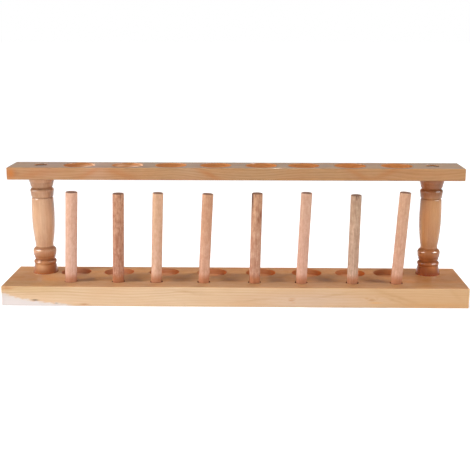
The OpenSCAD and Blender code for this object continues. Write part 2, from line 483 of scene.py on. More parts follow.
class Graph:
    """Adds nodes to one node tree and links them."""

    NODES_IN_ROW = 24

    def __init__(self, tree: bpy.types.NodeTree) -> None:
        """Takes the tree to add to."""
        self.tree = tree

    @classmethod
    def of(cls, owner: bpy.types.Material | bpy.types.World) -> "Graph":
        """Empties the node tree of a material or a world.

        Args:
            owner: the material or the world.

        Returns:
            The graph of that tree.
        """
        owner.use_nodes = True
        owner.node_tree.nodes.clear()
        return cls(owner.node_tree)

    def add(self, kind: str, inputs: dict | None = None, **settings: object) -> bpy.types.Node:
        """Adds one node.

        Args:
            kind: the node's type name.
            inputs: values or output sockets for its inputs, by name or number.
            **settings: the node's own options.

        Returns:
            The new node.
        """
        node = self.tree.nodes.new(kind)
        row, column = divmod(len(self.tree.nodes), self.NODES_IN_ROW)
        node.location = (180 * column, -240 * row)
        for name, value in settings.items():
            setattr(node, name, value)
        for name, value in (inputs or {}).items():
            self.feed(node.inputs[name], value)
        return node

    def feed(self, target: Socket, value: object) -> None:
        """Links an output to an input, or sets the input's own value.

        Args:
            target: the input.
            value: an output socket, a number or three numbers.
        """
        if isinstance(value, Socket):
            self.tree.links.new(value, target)
        elif target.type == "RGBA":
            target.default_value = (*value, 1.0)
        else:
            target.default_value = value

    def maths(self, operation: str, *values: object) -> Socket:
        """Returns the result of a Math node on up to three values or sockets."""
        return self.add("ShaderNodeMath", dict(enumerate(values)), operation=operation).outputs[0]

    def times(self, first: object, second: object) -> Socket:
        """Returns the product of two values."""
        return self.maths("MULTIPLY", first, second)

    def vector(self, operation: str, *values: object, result: str = "Vector") -> Socket:
        """Returns the result of a Vector Math node on up to two vectors."""
        inputs = dict(enumerate(values))
        return self.add("ShaderNodeVectorMath", inputs, operation=operation).outputs[result]

    def scaled(self, vector: Socket, factor: object) -> Socket:
        """Returns the vector times one number."""
        inputs = {0: vector, "Scale": factor}
        return self.add("ShaderNodeVectorMath", inputs, operation="SCALE").outputs["Vector"]

    def parts(self, vector: Socket) -> tuple[Socket, Socket, Socket]:
        """Returns a vector's X, Y and Z."""
        return tuple(self.add("ShaderNodeSeparateXYZ", {0: vector}).outputs)

    def place(self) -> Socket:
        """Returns the place on the object, in metres of the rack's frame."""
        return self.add("ShaderNodeTexCoord").outputs["Object"]

    def rack(self) -> Socket:
        """Returns the place in the rack's millimetres."""
        return self.scaled(self.place(), 1.0 / MM)

    def timber(self, offset: Triple, turn: Triple) -> Socket:
        """Returns the place in millimetres of a timber that was moved and turned to X."""
        moved = {"Vector": self.place(), "Location": offset, "Rotation": turn}
        return self.scaled(self.add("ShaderNodeMapping", moved).outputs["Vector"], 1.0 / MM)

    def rays(self, *names: str) -> list[Socket]:
        """Returns outputs of a Light Path node, by their names."""
        path = self.add("ShaderNodeLightPath").outputs
        return [path[name] for name in names]

    def mark(self) -> Socket:
        """Returns how deep or dark the place lies in a hole or a groove."""
        return self.add("ShaderNodeAttribute", attribute_name=MARK).outputs["Fac"]

    def noise(
        self, vector: Socket, scale: Triple, detail: float = 2.0, rough: float = 0.5, result: str = "Fac"
    ) -> Socket:
        """Adds noise that is drawn out or squeezed along the axes.

        Args:
            vector: the place.
            scale: what the place is multiplied by along X, Y and Z.
            detail, rough: how many finer layers it has, and how strong they are.
            result: the output's name.

        Returns:
            The noise.
        """
        drawn = self.vector("MULTIPLY", vector, scale)
        inputs = {"Vector": drawn, "Scale": 1.0, "Detail": detail, "Roughness": rough}
        return self.add("ShaderNodeTexNoise", inputs).outputs[result]

    def between(
        self, value: object, low: float, high: float, to_low: float = 0.0, to_high: float = 1.0
    ) -> Socket:
        """Returns a smooth step from to_low to to_high as the value goes from low to high."""
        inputs = {"Value": value, "From Min": low, "From Max": high, "To Min": to_low, "To Max": to_high}
        return self.add("ShaderNodeMapRange", inputs, interpolation_type="SMOOTHSTEP").outputs["Result"]

    def mix(self, share: object, below: object, above: object, blend: Blend = Blend.COVER) -> Socket:
        """Returns a colour covered or stained by another one, by a share from 0 to 1."""
        inputs = {0: share, 6: below, 7: above}
        return self.add("ShaderNodeMix", inputs, data_type="RGBA", blend_type=blend.value).outputs[2]

    def tint(
        self, wood: object, mask: object, share: object, tone: Colour, blend: Blend = Blend.COVER
    ) -> Socket:
        """Returns the wood with a tone over it, as strongly as a mask times a share."""
        return self.mix(self.times(mask, share), wood, tone, blend)

    def bump(self, height: Socket, strength: float, distance: float) -> Socket:
        """Returns the normal of a fine relief."""
        inputs = {"Strength": strength, "Distance": distance, "Height": height}
        return self.add("ShaderNodeBump", inputs).outputs["Normal"]


class GroupRecipe:
    """A shader node group with named inputs and outputs, built once and shared."""

    name = ""
    inputs: dict[str, float | Triple | None] = {}
    outputs: tuple[str, ...] = ()

    def wire(self, graph: Graph, given: dict[str, Socket]) -> dict[str, Socket]:
        """Adds the group's nodes to its graph, from its inputs, and returns its outputs."""
        raise NotImplementedError

    def tree(self) -> bpy.types.NodeTree:
        """Builds the group's tree the first time, and finds it again later.

        Returns:
            The tree.
        """
        if self.name in bpy.data.node_groups:
            return bpy.data.node_groups[self.name]
        tree = bpy.data.node_groups.new(self.name, "ShaderNodeTree")
        for name, value in self.inputs.items():
            kind = "NodeSocketFloat" if isinstance(value, float) else "NodeSocketVector"
            socket = tree.interface.new_socket(name, in_out="INPUT", socket_type=kind)
            if value is not None:
                socket.default_value = value
        for name in self.outputs:
            tree.interface.new_socket(name, in_out="OUTPUT", socket_type="NodeSocketFloat")
        graph = Graph(tree)
        given = graph.add("NodeGroupInput").outputs
        graph.add("NodeGroupOutput", self.wire(graph, {name: given[name] for name in self.inputs}))
        return tree

    def use(self, graph: Graph, inputs: dict) -> dict[str, Socket]:
        """Places the group in a material, and returns its outputs by name."""
        node = graph.add("ShaderNodeGroup", inputs, node_tree=self.tree())
        return {name: node.outputs[name] for name in self.outputs}


class TimberFigure(GroupRecipe):
    """Growth rings, fibres, flecks and clouds of softwood, in the timber's millimetres.

    Rings are shells round the pith, which runs along X and wanders. Each ring darkens slowly
    and ends at once. The rest is noise, drawn out along the grain.
    """

    name = "timber_figure"
    inputs = {
        "Vector": None, "Pith": (0.0, 10.0, -60.0), "Ring Width": 2.2, "Wander": 6.0, "Swell": 0.0,
    }
    outputs = ("Rings", "Fibres", "Flecks", "Clouds")
    ACROSS = (0.0, 1.0, 1.0)

    def wire(self, graph: Graph, given: dict[str, Socket]) -> dict[str, Socket]:
        """Adds the nodes of rings, fibres, flecks and clouds.

        Args:
            graph: the group's graph.
            given: the group's inputs by name; the swell is how far knots push the rings.

        Returns:
            The masks by name.
        """
        timber = given["Vector"]
        sway = graph.noise(timber, (0.011, 0.03, 0.03), 1.5, result="Color")
        sway = graph.scaled(graph.vector("SUBTRACT", sway, (0.5, 0.5, 0.5)), given["Wander"])
        moved = graph.vector("ADD", timber, graph.vector("MULTIPLY", sway, self.ACROSS))
        spoke = graph.vector("MULTIPLY", graph.vector("SUBTRACT", moved, given["Pith"]), self.ACROSS)
        ragged = graph.noise(timber, (0.05, 0.55, 0.55), 3.0, 0.6)
        reach = graph.vector("LENGTH", spoke, result="Value")
        count = graph.maths("DIVIDE", reach, given["Ring Width"])
        count = graph.maths("ADD", count, graph.times(ragged, 0.55))
        count = graph.maths("ADD", count, given["Swell"])
        part = graph.maths("FRACT", count)
        year = graph.add(
            "ShaderNodeTexWhiteNoise", {"W": graph.maths("FLOOR", count)}, noise_dimensions="1D"
        ).outputs["Value"]
        grown = graph.times(graph.between(part, 0.25, 0.86), graph.between(part, 0.9, 1.0, 1.0, 0.0))
        fibre = graph.noise(moved, (0.035, 2.1, 2.1), 3.0, 0.62)
        fleck = graph.noise(timber, (0.22, 3.6, 3.6), 1.0)
        cloud = graph.noise(timber, (0.018, 0.075, 0.075))
        return {
            "Rings": graph.times(grown, graph.between(year, 0.0, 1.0, 0.35, 1.0)),
            "Fibres": graph.between(fibre, 0.32, 0.68),
            "Flecks": graph.between(fleck, 0.64, 0.76),
            "Clouds": graph.between(cloud, 0.3, 0.7),
        }


class PinKnot(GroupRecipe):
    """A small knot: a dark core, and the swell that pushes the rings aside round it.

    The swell is a bell curve of the distance, and the core a smooth step of it. The squeeze
    draws the knot out along the grain.
    """

    name = "pin_knot"
    inputs = {
        "Vector": None, "Centre": (0.0, 0.0, 0.0), "Radius": 3.0, "Squeeze": (0.4, 0.25, 1.0),
    }
    outputs = ("Core", "Swell")

    def wire(self, graph: Graph, given: dict[str, Socket]) -> dict[str, Socket]:
        """Adds the nodes of the core and the swell.

        Args:
            graph: the group's graph.
            given: the group's inputs by name.

        Returns:
            The masks by name.
        """
        away = graph.vector("SUBTRACT", given["Vector"], given["Centre"])
        away = graph.vector("MULTIPLY", away, given["Squeeze"])
        reach = graph.maths("DIVIDE", graph.vector("LENGTH", away, result="Value"), given["Radius"])
        bell = graph.maths("EXPONENT", graph.times(graph.maths("POWER", reach, 2.0), -1.0))
        return {"Core": graph.between(reach, 0.25, 0.75, 1.0, 0.0), "Swell": bell}


class Flame(GroupRecipe):
    """A soft slanting streak in the wood: a bell curve across a tilted, ragged line."""

    name = "flame"
    inputs = {
        "Vector": None, "Centre": (0.0, 0.0, 0.0), "Slope": 0.3, "Length": 9.0, "Width": 1.4,
    }
    outputs = ("Mask",)

    def wire(self, graph: Graph, given: dict[str, Socket]) -> dict[str, Socket]:
        """Adds the nodes of the streak.

        Args:
            graph: the group's graph.
            given: the group's inputs by name.

        Returns:
            The mask by name.
        """
        x, _, z = graph.parts(graph.vector("SUBTRACT", given["Vector"], given["Centre"]))
        ragged = graph.noise(given["Vector"], (0.12, 0.8, 0.8), 3.0, 0.6)
        offset = graph.maths("SUBTRACT", z, graph.times(x, given["Slope"]))
        offset = graph.maths("ADD", offset, graph.times(graph.maths("SUBTRACT", ragged, 0.5), 3.0))
        across = graph.maths("POWER", graph.maths("DIVIDE", offset, given["Width"]), 2.0)
        along = graph.maths("POWER", graph.maths("DIVIDE", x, given["Length"]), 2.0)
        total = graph.times(graph.maths("ADD", across, along), -1.0)
        return {"Mask": graph.maths("EXPONENT", total)}


class SurfaceSkin(GroupRecipe):
    """Fine relief and smudges of a finished surface, from noise of several sizes."""

    name = "surface_skin"
    inputs = {"Vector": None, "Rings": 0.0, "Fibres": 0.0}
    outputs = ("Height", "Smudges")

    def wire(self, graph: Graph, given: dict[str, Socket]) -> dict[str, Socket]:
        """Adds the nodes of relief and smudges.

        Args:
            graph: the group's graph.
            given: the group's inputs by name.

        Returns:
            The relief's height and the smudges' mask by name.
        """
        waves = graph.noise(given["Vector"], (0.06, 0.35, 0.35))
        smudge = graph.noise(given["Vector"], (0.09, 0.13, 0.13), 3.0, 0.6)
        grain = graph.maths("ADD", graph.times(given["Rings"], 0.35), given["Fibres"])
        height = graph.maths("ADD", graph.times(grain, 0.3), graph.times(waves, 1.4))
        return {"Height": height, "Smudges": graph.between(smudge, 0.35, 0.7)}


@dataclass(frozen=True)
class KnotSpot:
    """A pin knot of one piece, in the rack's millimetres.

    Attributes:
        x, y, z, radius: its middle and size.
        push: by how many rings it pushes the growth rings aside.
    """

    x: float
    y: float
    z: float
    radius: float
    push: float = 0.6

    def masks(self, graph: Graph, rack: Socket) -> dict[str, Socket]:
        """Returns the knot's masks at a place in the rack's millimetres."""
        inputs = {"Vector": rack, "Centre": (self.x, self.y, self.z), "Radius": self.radius}
        return PinKnot().use(graph, inputs)


@dataclass(frozen=True)
class FlameStreak:
    """A flame on a board's front, in the rack's millimetres.

    Attributes:
        x, z: its middle.
        slope: its rise towards +X.
        length, width: its size.
        strength: how strongly it shows.
    """

    x: float
    z: float
    slope: float
    length: float
    width: float
    strength: float

    def mask(self, graph: Graph, rack: Socket) -> Socket:
        """Adds the flame's nodes.

        Args:
            graph, rack: the material's graph, and the place in the rack's millimetres.

        Returns:
            The flame's mask.
        """
        return Flame().use(graph, {
            "Vector": rack, "Centre": (self.x, 0.0, self.z), "Slope": self.slope,
            "Length": self.length, "Width": self.width,
        })["Mask"]


@dataclass(frozen=True)
class Mark:
    """A small coloured mark: a dent, a dash of resin, a run of varnish, or a painted highlight, sheen or
    light.

    Attributes:
        x, y, z, radius: its middle and size, in the rack's millimetres.
        squeeze: what its axes are scaled by; an axis below one draws it out that way.
        tone: its colour; a multiplied tone may be above one, which makes the wood paler.
        strength: how strongly it shows.
        blend: how it joins the wood.
    """

    x: float
    y: float
    z: float
    radius: float
    squeeze: Triple
    tone: Colour
    strength: float
    blend: Blend = Blend.COVER

    def paint(self, graph: Graph, rack: Socket, wood: Socket) -> Socket:
        """Adds the mark's nodes.

        Args:
            graph, rack: the material's graph, and the place in the rack's millimetres.
            wood: the colour below the mark.

        Returns:
            The colour with the mark.
        """
        bell = PinKnot().use(graph, {
            "Vector": rack, "Centre": (self.x, self.y, self.z), "Radius": self.radius,
            "Squeeze": self.squeeze,
        })["Swell"]
        return graph.tint(wood, bell, self.strength, self.tone, self.blend)


@dataclass(frozen=True)
class PaleCorner:
    """A pale, whitish patch at the lower left of the base's front, in the rack's millimetres.

    Its ragged upper edge falls off along the front as an exponential curve.

    Attributes:
        start, height: where the front begins, and how high the patch reaches there.
        fall: the way along the front in which the height drops to about a third.
        ragged: how far the edge strays.
        end, front: between which places it fades out, and between which depths it starts.
        tone, strength: its colour, and how strongly it shows.
    """

    start: float = -160.0
    height: float = 9.4
    fall: float = 24.0
    ragged: float = 4.5
    end: Span = (-108.0, -118.0)
    front: Span = (-25.5, -26.6)
    tone: Colour = srgb(229, 219, 217)
    strength: float = 0.92

    def paint(self, graph: Graph, rack: Socket, wood: Socket) -> Socket:
        """Adds the patch's nodes.

        Args:
            graph, rack: the material's graph, and the place in the rack's millimetres.
            wood: the colour below the patch.

        Returns:
            The colour with the patch.
        """
        x, y, z = graph.parts(rack)
        ragged = graph.noise(rack, (0.25, 0.25, 0.8), 3.0, 0.6)
        away = graph.maths("DIVIDE", graph.maths("SUBTRACT", x, self.start), -self.fall)
        edge = graph.times(graph.maths("EXPONENT", away), self.height)
        stray = graph.times(graph.maths("SUBTRACT", ragged, 0.5), self.ragged)
        above = graph.maths("SUBTRACT", graph.maths("ADD", edge, stray), z)
        share = graph.times(graph.between(above, -0.6, 1.0), graph.between(y, *self.front))
        share = graph.times(share, graph.between(x, *self.end))
        return graph.tint(wood, share, self.strength, self.tone)


@dataclass(frozen=True)
class AmberAndShade:
    """A darker amber tone towards a post's foot and under its collar, where it is partly painted shade.

    Attributes:
        tone: its colour.
        foot, collar: how strongly it shows there.
        foot_fade, collar_rise: between which heights it fades out and sets in, in millimetres.
    """

    tone: Colour
    foot: float
    collar: float
    foot_fade: Span
    collar_rise: Span = (68.0, 74.0)

    def paint(self, graph: Graph, height: Socket, wood: Socket) -> Socket:
        """Adds the nodes of both tones.

        Args:
            graph: the material's graph.
            height: the height in millimetres.
            wood: the colour below them.

        Returns:
            The colour with both tones.
        """
        foot = graph.between(height, *self.foot_fade, self.foot, 0.0)
        collar = graph.between(height, *self.collar_rise, 0.0, self.collar)
        return graph.mix(graph.maths("MAXIMUM", foot, collar), wood, self.tone)


class Finish:
    """A procedural material, built once and shared by the pieces that have it."""

    name: str

    def surface(self, graph: Graph) -> dict[str, object]:
        """Returns what feeds the shader's inputs, by their names."""
        raise NotImplementedError

    def material(self) -> bpy.types.Material:
        """Builds the material the first time, and finds it again later.

        Returns:
            The material.
        """
        if self.name in bpy.data.materials:
            return bpy.data.materials[self.name]
        material = bpy.data.materials.new(self.name)
        graph = Graph.of(material)
        shader = graph.add("ShaderNodeBsdfPrincipled", self.surface(graph))
        graph.add("ShaderNodeOutputMaterial", {"Surface": shader.outputs["BSDF"]})
        return material


@dataclass(frozen=True)
class VarnishedPine(Finish):
    """Pine under clear varnish.

    A share says how strongly something shows. Lengths are in millimetres where nothing is said.

    Attributes:
        name: the material's name.
        early, late: colours of the pale and the dark part of a growth ring.
        warm, flame, core: colours of the clouds, of the flames and of a knot's middle.
        axis: which way the grain runs.
        pith: where the tree's middle lay in the timber.
        ring_width, wander: spacing of the rings, and how far the grain strays.
        offset: moves the piece along its timber, in metres, so that no two pieces match.
        ring_share, fibre_share, fleck_share, cloud_share, core_share: the figure's shares.
        far_tint, far_share, far_reach: colour at the +X end, and from where to where it grows.
        coat, coat_blur: how much varnish shows, and how rough it is.
        inner, inner_share: colour inside holes and turned grooves; in the grooves it is painted shade.
        bare: colour inside dark holes, the sockets and screw wells: painted shade.
        top_height: height of the upper face, in metres, where that face is tinted.
        top_tint: what the upper face is multiplied by; on the rail it greys the top as a painted sheen.
        row_shade, row_reach: what it is also multiplied by, and behind which places: painted rail shade.
        amber, knots, flames, marks, pale_corner: what this one piece has of them.
    """

    name: str
    early: Colour
    late: Colour
    warm: Colour
    flame: Colour = srgb(184, 108, 48)
    core: Colour = srgb(150, 92, 50)
    axis: GrainAxis = GrainAxis.ALONG_X
    pith: Triple = (0.0, 10.0, -60.0)
    ring_width: float = 2.2
    wander: float = 6.0
    offset: Triple = (0.0, 0.0, 0.0)
    ring_share: float = 0.5
    fibre_share: float = 0.3
    fleck_share: float = 0.35
    cloud_share: float = 0.4
    core_share: float = 0.45
    far_tint: Colour = (0.7, 0.4, 0.2)
    far_share: float = 0.0
    far_reach: Span = (-90.0, 150.0)
    coat: float = 0.4
    coat_blur: float = 0.09
    # By default, as on the posts, this darkens the turned grooves: painted shade.
    inner: Colour = srgb(120, 62, 26)
    inner_share: float = 0.6
    bare: Colour = srgb(84, 52, 32)
    top_height: float | None = None
    top_tint: Colour = (1.0, 1.0, 1.0)
    row_shade: Colour = (1.0, 1.0, 1.0)
    row_reach: Span = (-16.0, -10.0)
    amber: AmberAndShade | None = None
    knots: tuple[KnotSpot, ...] = ()
    flames: tuple[FlameStreak, ...] = ()
    marks: tuple[Mark, ...] = ()
    pale_corner: PaleCorner | None = None

    def grown(self, graph: Graph, rack: Socket, timber: Socket) -> tuple[Socket, dict[str, Socket]]:
        """Adds the wood as it has grown: its figure, flames and knots.

        Args:
            graph: the material's graph.
            rack, timber: the place in the rack's and in the timber's millimetres.

        Returns:
            The wood's colour, and the masks of its figure by name.
        """
        knots = [knot.masks(graph, rack) for knot in self.knots]
        swell: object = 0.0
        for knot, masks in zip(self.knots, knots):
            swell = graph.maths("ADD", swell, graph.times(masks["Swell"], knot.push))
        figure = TimberFigure().use(graph, {
            "Vector": timber, "Pith": self.pith, "Ring Width": self.ring_width,
            "Wander": self.wander, "Swell": swell,
        })
        wood = graph.tint(self.early, figure["Rings"], self.ring_share, self.late)
        wood = graph.tint(wood, figure["Clouds"], self.cloud_share, self.warm)
        wood = graph.tint(wood, figure["Fibres"], self.fibre_share, self.late)
        wood = graph.tint(wood, figure["Flecks"], self.fleck_share, self.late)
        for streak in self.flames:
            wood = graph.tint(wood, streak.mask(graph, rack), streak.strength, self.flame)
        for masks in knots:
            wood = graph.tint(wood, masks["Core"], self.core_share, self.core)
        return wood, figure

    def tinted_and_shaded(self, graph: Graph, rack: Socket, shaded: Socket, wood: Socket) -> Socket:
        """Adds what varnish, wear and dirt did to the wood, and its painted shade, sheen and highlights.

        Args:
            graph: the material's graph.
            rack: the place in the rack's millimetres.
            shaded: how deep it lies in a hole or a groove.
            wood: the bare wood's colour.

        Returns:
            The colour as it shows.
        """
        x, y, z = graph.parts(rack)
        if self.far_share > 0:
            wood = graph.mix(graph.between(x, *self.far_reach, 0.0, self.far_share), wood, self.far_tint)
        if self.top_height is not None:
            top = self.top_height / MM
            upper = graph.between(z, top - 0.35, top - 0.1)
            # The upper face takes its own tint: darker and warmer on the base, greyer on the rail as a
            # painted sheen.
            wood = graph.mix(upper, wood, self.top_tint, Blend.MULTIPLIED)
            # Behind the pegs the upper face lies in the rail's shade, painted here as a warmer tint.
            behind = graph.between(y, *self.row_reach)
            wood = graph.tint(wood, upper, behind, self.row_shade, Blend.MULTIPLIED)
        # Under the collar this amber is partly painted shade from the rail.
        if self.amber:
            wood = self.amber.paint(graph, z, wood)
        # Holes and turned grooves take the inner colour by their depth; in the grooves it is painted
        # shade.
        wood = graph.tint(wood, shaded, self.inner_share, self.inner)
        # Dark holes, the pegs' sockets and the rail's screw wells, are painted dark brown as shade.
        wood = graph.mix(graph.between(shaded, 1.0, 1.6), wood, self.bare)
        if self.pale_corner:
            wood = self.pale_corner.paint(graph, rack, wood)
        # The marks include painted highlights, sheen and light as well as the wood's own blemishes.
        for mark in self.marks:
            wood = mark.paint(graph, rack, wood)
        return wood

    def surface(self, graph: Graph) -> dict[str, object]:
        """Adds the wood and its varnish.

        Args:
            graph: the material's graph.

        Returns:
            What feeds the shader's inputs, by name.
        """
        rack, timber = graph.rack(), graph.timber(self.offset, self.axis.value)
        shaded = graph.mark()
        wood, figure = self.grown(graph, rack, timber)
        skin = SurfaceSkin().use(graph, {
            "Vector": timber, "Rings": figure["Rings"], "Fibres": figure["Fibres"],
        })
        coat = graph.between(skin["Smudges"], 0.0, 1.0, self.coat, self.coat * 0.75)
        return {
            "Base Color": self.tinted_and_shaded(graph, rack, shaded, wood),
            "Roughness": graph.between(skin["Smudges"], 0.0, 1.0, 0.42, 0.58),
            "Specular IOR Level": 0.08,
            "Coat Weight": graph.times(coat, graph.between(shaded, 0.2, 0.8, 1.0, 0.15)),
            "Coat Roughness": self.coat_blur,
            "Normal": graph.bump(skin["Height"], 0.35, 0.05 * MM),
        }


@dataclass(frozen=True)
class Split:
    """A drying crack in the end of a peg.

    Attributes:
        angle: where it lies on the peg, in degrees from +X.
        length, width, depth: its size.
    """

    angle: float
    length: float
    width: float
    depth: float


@dataclass(frozen=True)
class DowelLook:
    """What sets one peg's dowel apart from the others.

    Attributes:
        upper, lower: its colours at the top and near the base.
        streak, streak_share: its dark streaks' colour, and how strongly they show.
        blotch_share: how strongly patches of that colour show.
        marks, splits: stains on its side, and drying cracks in its top.
    """

    # upper, lower: its colours at the top and near the base, where most are paler and greyer: painted
    # sheen.
    upper: Colour
    lower: Colour
    streak: Colour
    streak_share: float
    blotch_share: float
    marks: tuple[Mark, ...] = ()
    splits: tuple[Split, ...] = ()


@dataclass(frozen=True)
class BareDowel(Finish):
    """Sanded dowel with no varnish, in millimetres.

    Attributes:
        name: the material's name.
        look: what sets this dowel apart.
        lean: the peg's lean, in radians.
        seed: moves the pattern, so that no two pegs match.
        pale: colour of its pale mottles.
        foot_shade, foot_reach: colour of painted shade at its foot, warmed by the base, and where it
            fades out.
        crack: colour inside drying cracks and on the worn end.
        fade: between which heights the lower colour turns into the upper one.
        ring_width, wander: spacing and straying of the rings.
    """

    name: str
    look: DowelLook
    lean: float
    seed: int
    pale: Colour = srgb(240, 208, 184)
    foot_shade: Colour = srgb(178, 104, 58)
    crack: Colour = srgb(92, 56, 38)
    fade: Span = (25.0, 72.0)
    foot_reach: Span = (15.8, 21.5)
    ring_width: float = 1.7
    wander: float = 3.0

    def sanded(self, graph: Graph, timber: Socket, wood: Socket) -> tuple[Socket, dict[str, Socket]]:
        """Adds streaks, mottles and blotches.

        Args:
            graph: the material's graph.
            timber: the place in the timber's millimetres.
            wood: the colour below them.

        Returns:
            The dowel's colour, and the masks of its figure by name.
        """
        look = self.look
        figure = TimberFigure().use(graph, {
            "Vector": timber, "Pith": (0.0, 40.0 * self.seed, 25.0), "Ring Width": self.ring_width,
            "Wander": self.wander,
        })
        mottle = graph.noise(timber, (0.3, 0.55, 0.55), 2.0, 0.6)
        blotch = graph.noise(timber, (0.09, 0.3, 0.3), 3.0, 0.6)
        wood = graph.tint(wood, figure["Rings"], 0.35 * look.streak_share, look.streak)
        wood = graph.tint(wood, figure["Fibres"], look.streak_share, look.streak)
        dark = graph.between(mottle, 0.42, 0.66, 0.0, 0.25 + 0.5 * look.blotch_share)
        wood = graph.mix(dark, wood, look.streak)
        wood = graph.mix(graph.between(mottle, 0.28, 0.42, 0.2, 0.0), wood, self.pale)
        wood = graph.tint(wood, graph.between(blotch, 0.5, 0.68), look.blotch_share, look.streak)
        return graph.tint(wood, figure["Flecks"], 0.45, look.streak), figure

    def surface(self, graph: Graph) -> dict[str, object]:
        """Adds the dowel, its marks, the painted shade at its foot and the dirt in its cracks.

        Args:
            graph: the material's graph.

        Returns:
            What feeds the shader's inputs, by name.
        """
        turn = (0.0, math.radians(90) - self.lean, 0.0)
        offset = (0.31 * self.seed, 0.17 * self.seed, 0.07 * self.seed)
        rack, timber = graph.rack(), graph.timber(offset, turn)
        height = graph.parts(rack)[2]
        # Near the base most dowels are paler and greyer: painted sheen.
        wood = graph.mix(graph.between(height, *self.fade), self.look.lower, self.look.upper)
        wood, figure = self.sanded(graph, timber, wood)
        for mark in self.look.marks:
            wood = mark.paint(graph, rack, wood)
        # The foot is painted darker and warmer as shade, warmed by light off the base.
        wood = graph.mix(graph.between(height, *self.foot_reach, 0.75, 0.0), wood, self.foot_shade)
        skin = SurfaceSkin().use(graph, {
            "Vector": timber, "Rings": figure["Rings"], "Fibres": figure["Fibres"],
        })
        return {
            "Base Color": graph.mix(graph.mark(), wood, self.crack),
            "Roughness": graph.between(skin["Smudges"], 0.0, 1.0, 0.62, 0.8),
            "Specular IOR Level": 0.2,
            "Normal": graph.bump(skin["Height"], 0.6, 0.08 * MM),
        }


@dataclass(frozen=True)
class ScrewSteel(Finish):
    """Zinc-plated steel, dulled by handling.

    Attributes:
        name: the material's name.
        bright, dull: colours of the plating and of its bloom.
        dirt: colour at the bottom of the cross slot.
    """

    name: str = "dull_zinc"
    bright: Colour = srgb(168, 166, 160)
    dull: Colour = srgb(120, 116, 108)
    dirt: Colour = srgb(60, 54, 48)

    def surface(self, graph: Graph) -> dict[str, object]:
        """Adds the plating, its bloom and the dirt.

        Args:
            graph: the material's graph.

        Returns:
            What feeds the shader's inputs, by name.
        """
        rack = graph.rack()
        skin = SurfaceSkin().use(graph, {"Vector": rack})
        bloom = graph.noise(rack, (0.9, 0.9, 0.9), 4.0, 0.6)
        metal = graph.mix(graph.between(bloom, 0.35, 0.7), self.bright, self.dull)
        return {
            "Base Color": graph.tint(metal, graph.mark(), 0.8, self.dirt),
            "Metallic": 1.0,
            "Roughness": graph.between(bloom, 0.3, 0.7, 0.28, 0.5),
            "Normal": graph.bump(skin["Height"], 0.3, 0.03 * MM),
        }


# ---------------- the record


def mount(name: str) -> dict:
    """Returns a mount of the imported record."""
    return next(row for row in frame["record"]["mounts"] if row["name"] == name)


def opening_middle(name: str) -> tuple[float, float]:
    """Returns x and y of the middle of an opening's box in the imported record."""
    box = next(row for row in frame["record"]["physics"]["openings"] if row["name"] == name)["box_m"]
    return (box[0][0] + box[1][0]) / 2, (box[0][1] + box[1][1]) / 2


def box_middle(node: str) -> Vector:
    """Returns the middle of a node's box."""
    return sum(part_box(node), Vector()) / 2


def middles(places: list[float]) -> list[float]:
    """Returns the middles between neighbours."""
    return [(a + b) / 2 for a, b in zip(places[:-1], places[1:])]


# ---------------- the pieces


@dataclass
class RackPiece:
    """A piece of the rack, built in its node's place and then dressed.

    Attributes:
        finish: the finish of its whole surface.
    """

    finish: Finish

    def build(self) -> Piece:
        """Returns the new piece, which replaces its node."""
        raise NotImplementedError

    def dress(self, piece: Piece) -> Piece:
        """Gives the piece its finish, and returns it."""
        piece.data.materials.append(self.finish.material())
        return piece

    def finished(self) -> Piece:
        """Returns the piece, built and dressed."""
        return self.dress(self.build())


@dataclass(frozen=True)
class ScrewWay:
    """The way of a countersunk screw through a board.

    Attributes:
        well_r, head_r, pilot_r: radii of the well, of the head's seat and of the shank's hole.
        sink: how far the head lies below the wood.
        head_edge: height of the head's straight edge.
        well_mouth, pilot_mouth: how far below each face the first ring lies.
    """

    well_r: float = 4.7 * MM
    head_r: float = 4.1 * MM
    pilot_r: float = 2.1 * MM
    sink: float = 1.0 * MM
    head_edge: float = 0.4 * MM
    well_mouth: float = 0.2 * MM
    pilot_mouth: float = 0.3 * MM

    def seat(self, thick: float) -> Array:
        """Lists the rings of the head's seat and of the pilot hole.

        Args:
            thick: the board's thickness.

        Returns:
            Rows of radius and depth, from the well's floor down.
        """
        edge = self.sink + self.head_edge
        cone = edge + self.head_r - self.pilot_r
        return np.array([
            [self.head_r, self.sink], [self.head_r, edge], [self.pilot_r, cone],
            [self.pilot_r, thick - self.pilot_mouth], [self.pilot_r, thick],
        ])

    def hole(self, node: str, rings: Array, dark: float = 0.0) -> Hole:
        """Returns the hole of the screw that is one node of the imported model."""
        middle = box_middle(node)
        return Hole(middle.x, middle.y, rings, through=True, dark=dark)

    def rounded_well(self) -> Array:
        """Returns the rings of a well with a rounded rim."""
        return rim_rings(self.well_r, self.sink, self.well_mouth)

    def straight_well(self) -> Array:
        """Returns the rings of a well with a sharp rim."""
        return np.array([[self.well_r, depth] for depth in (0.0, self.well_mouth, self.sink)])


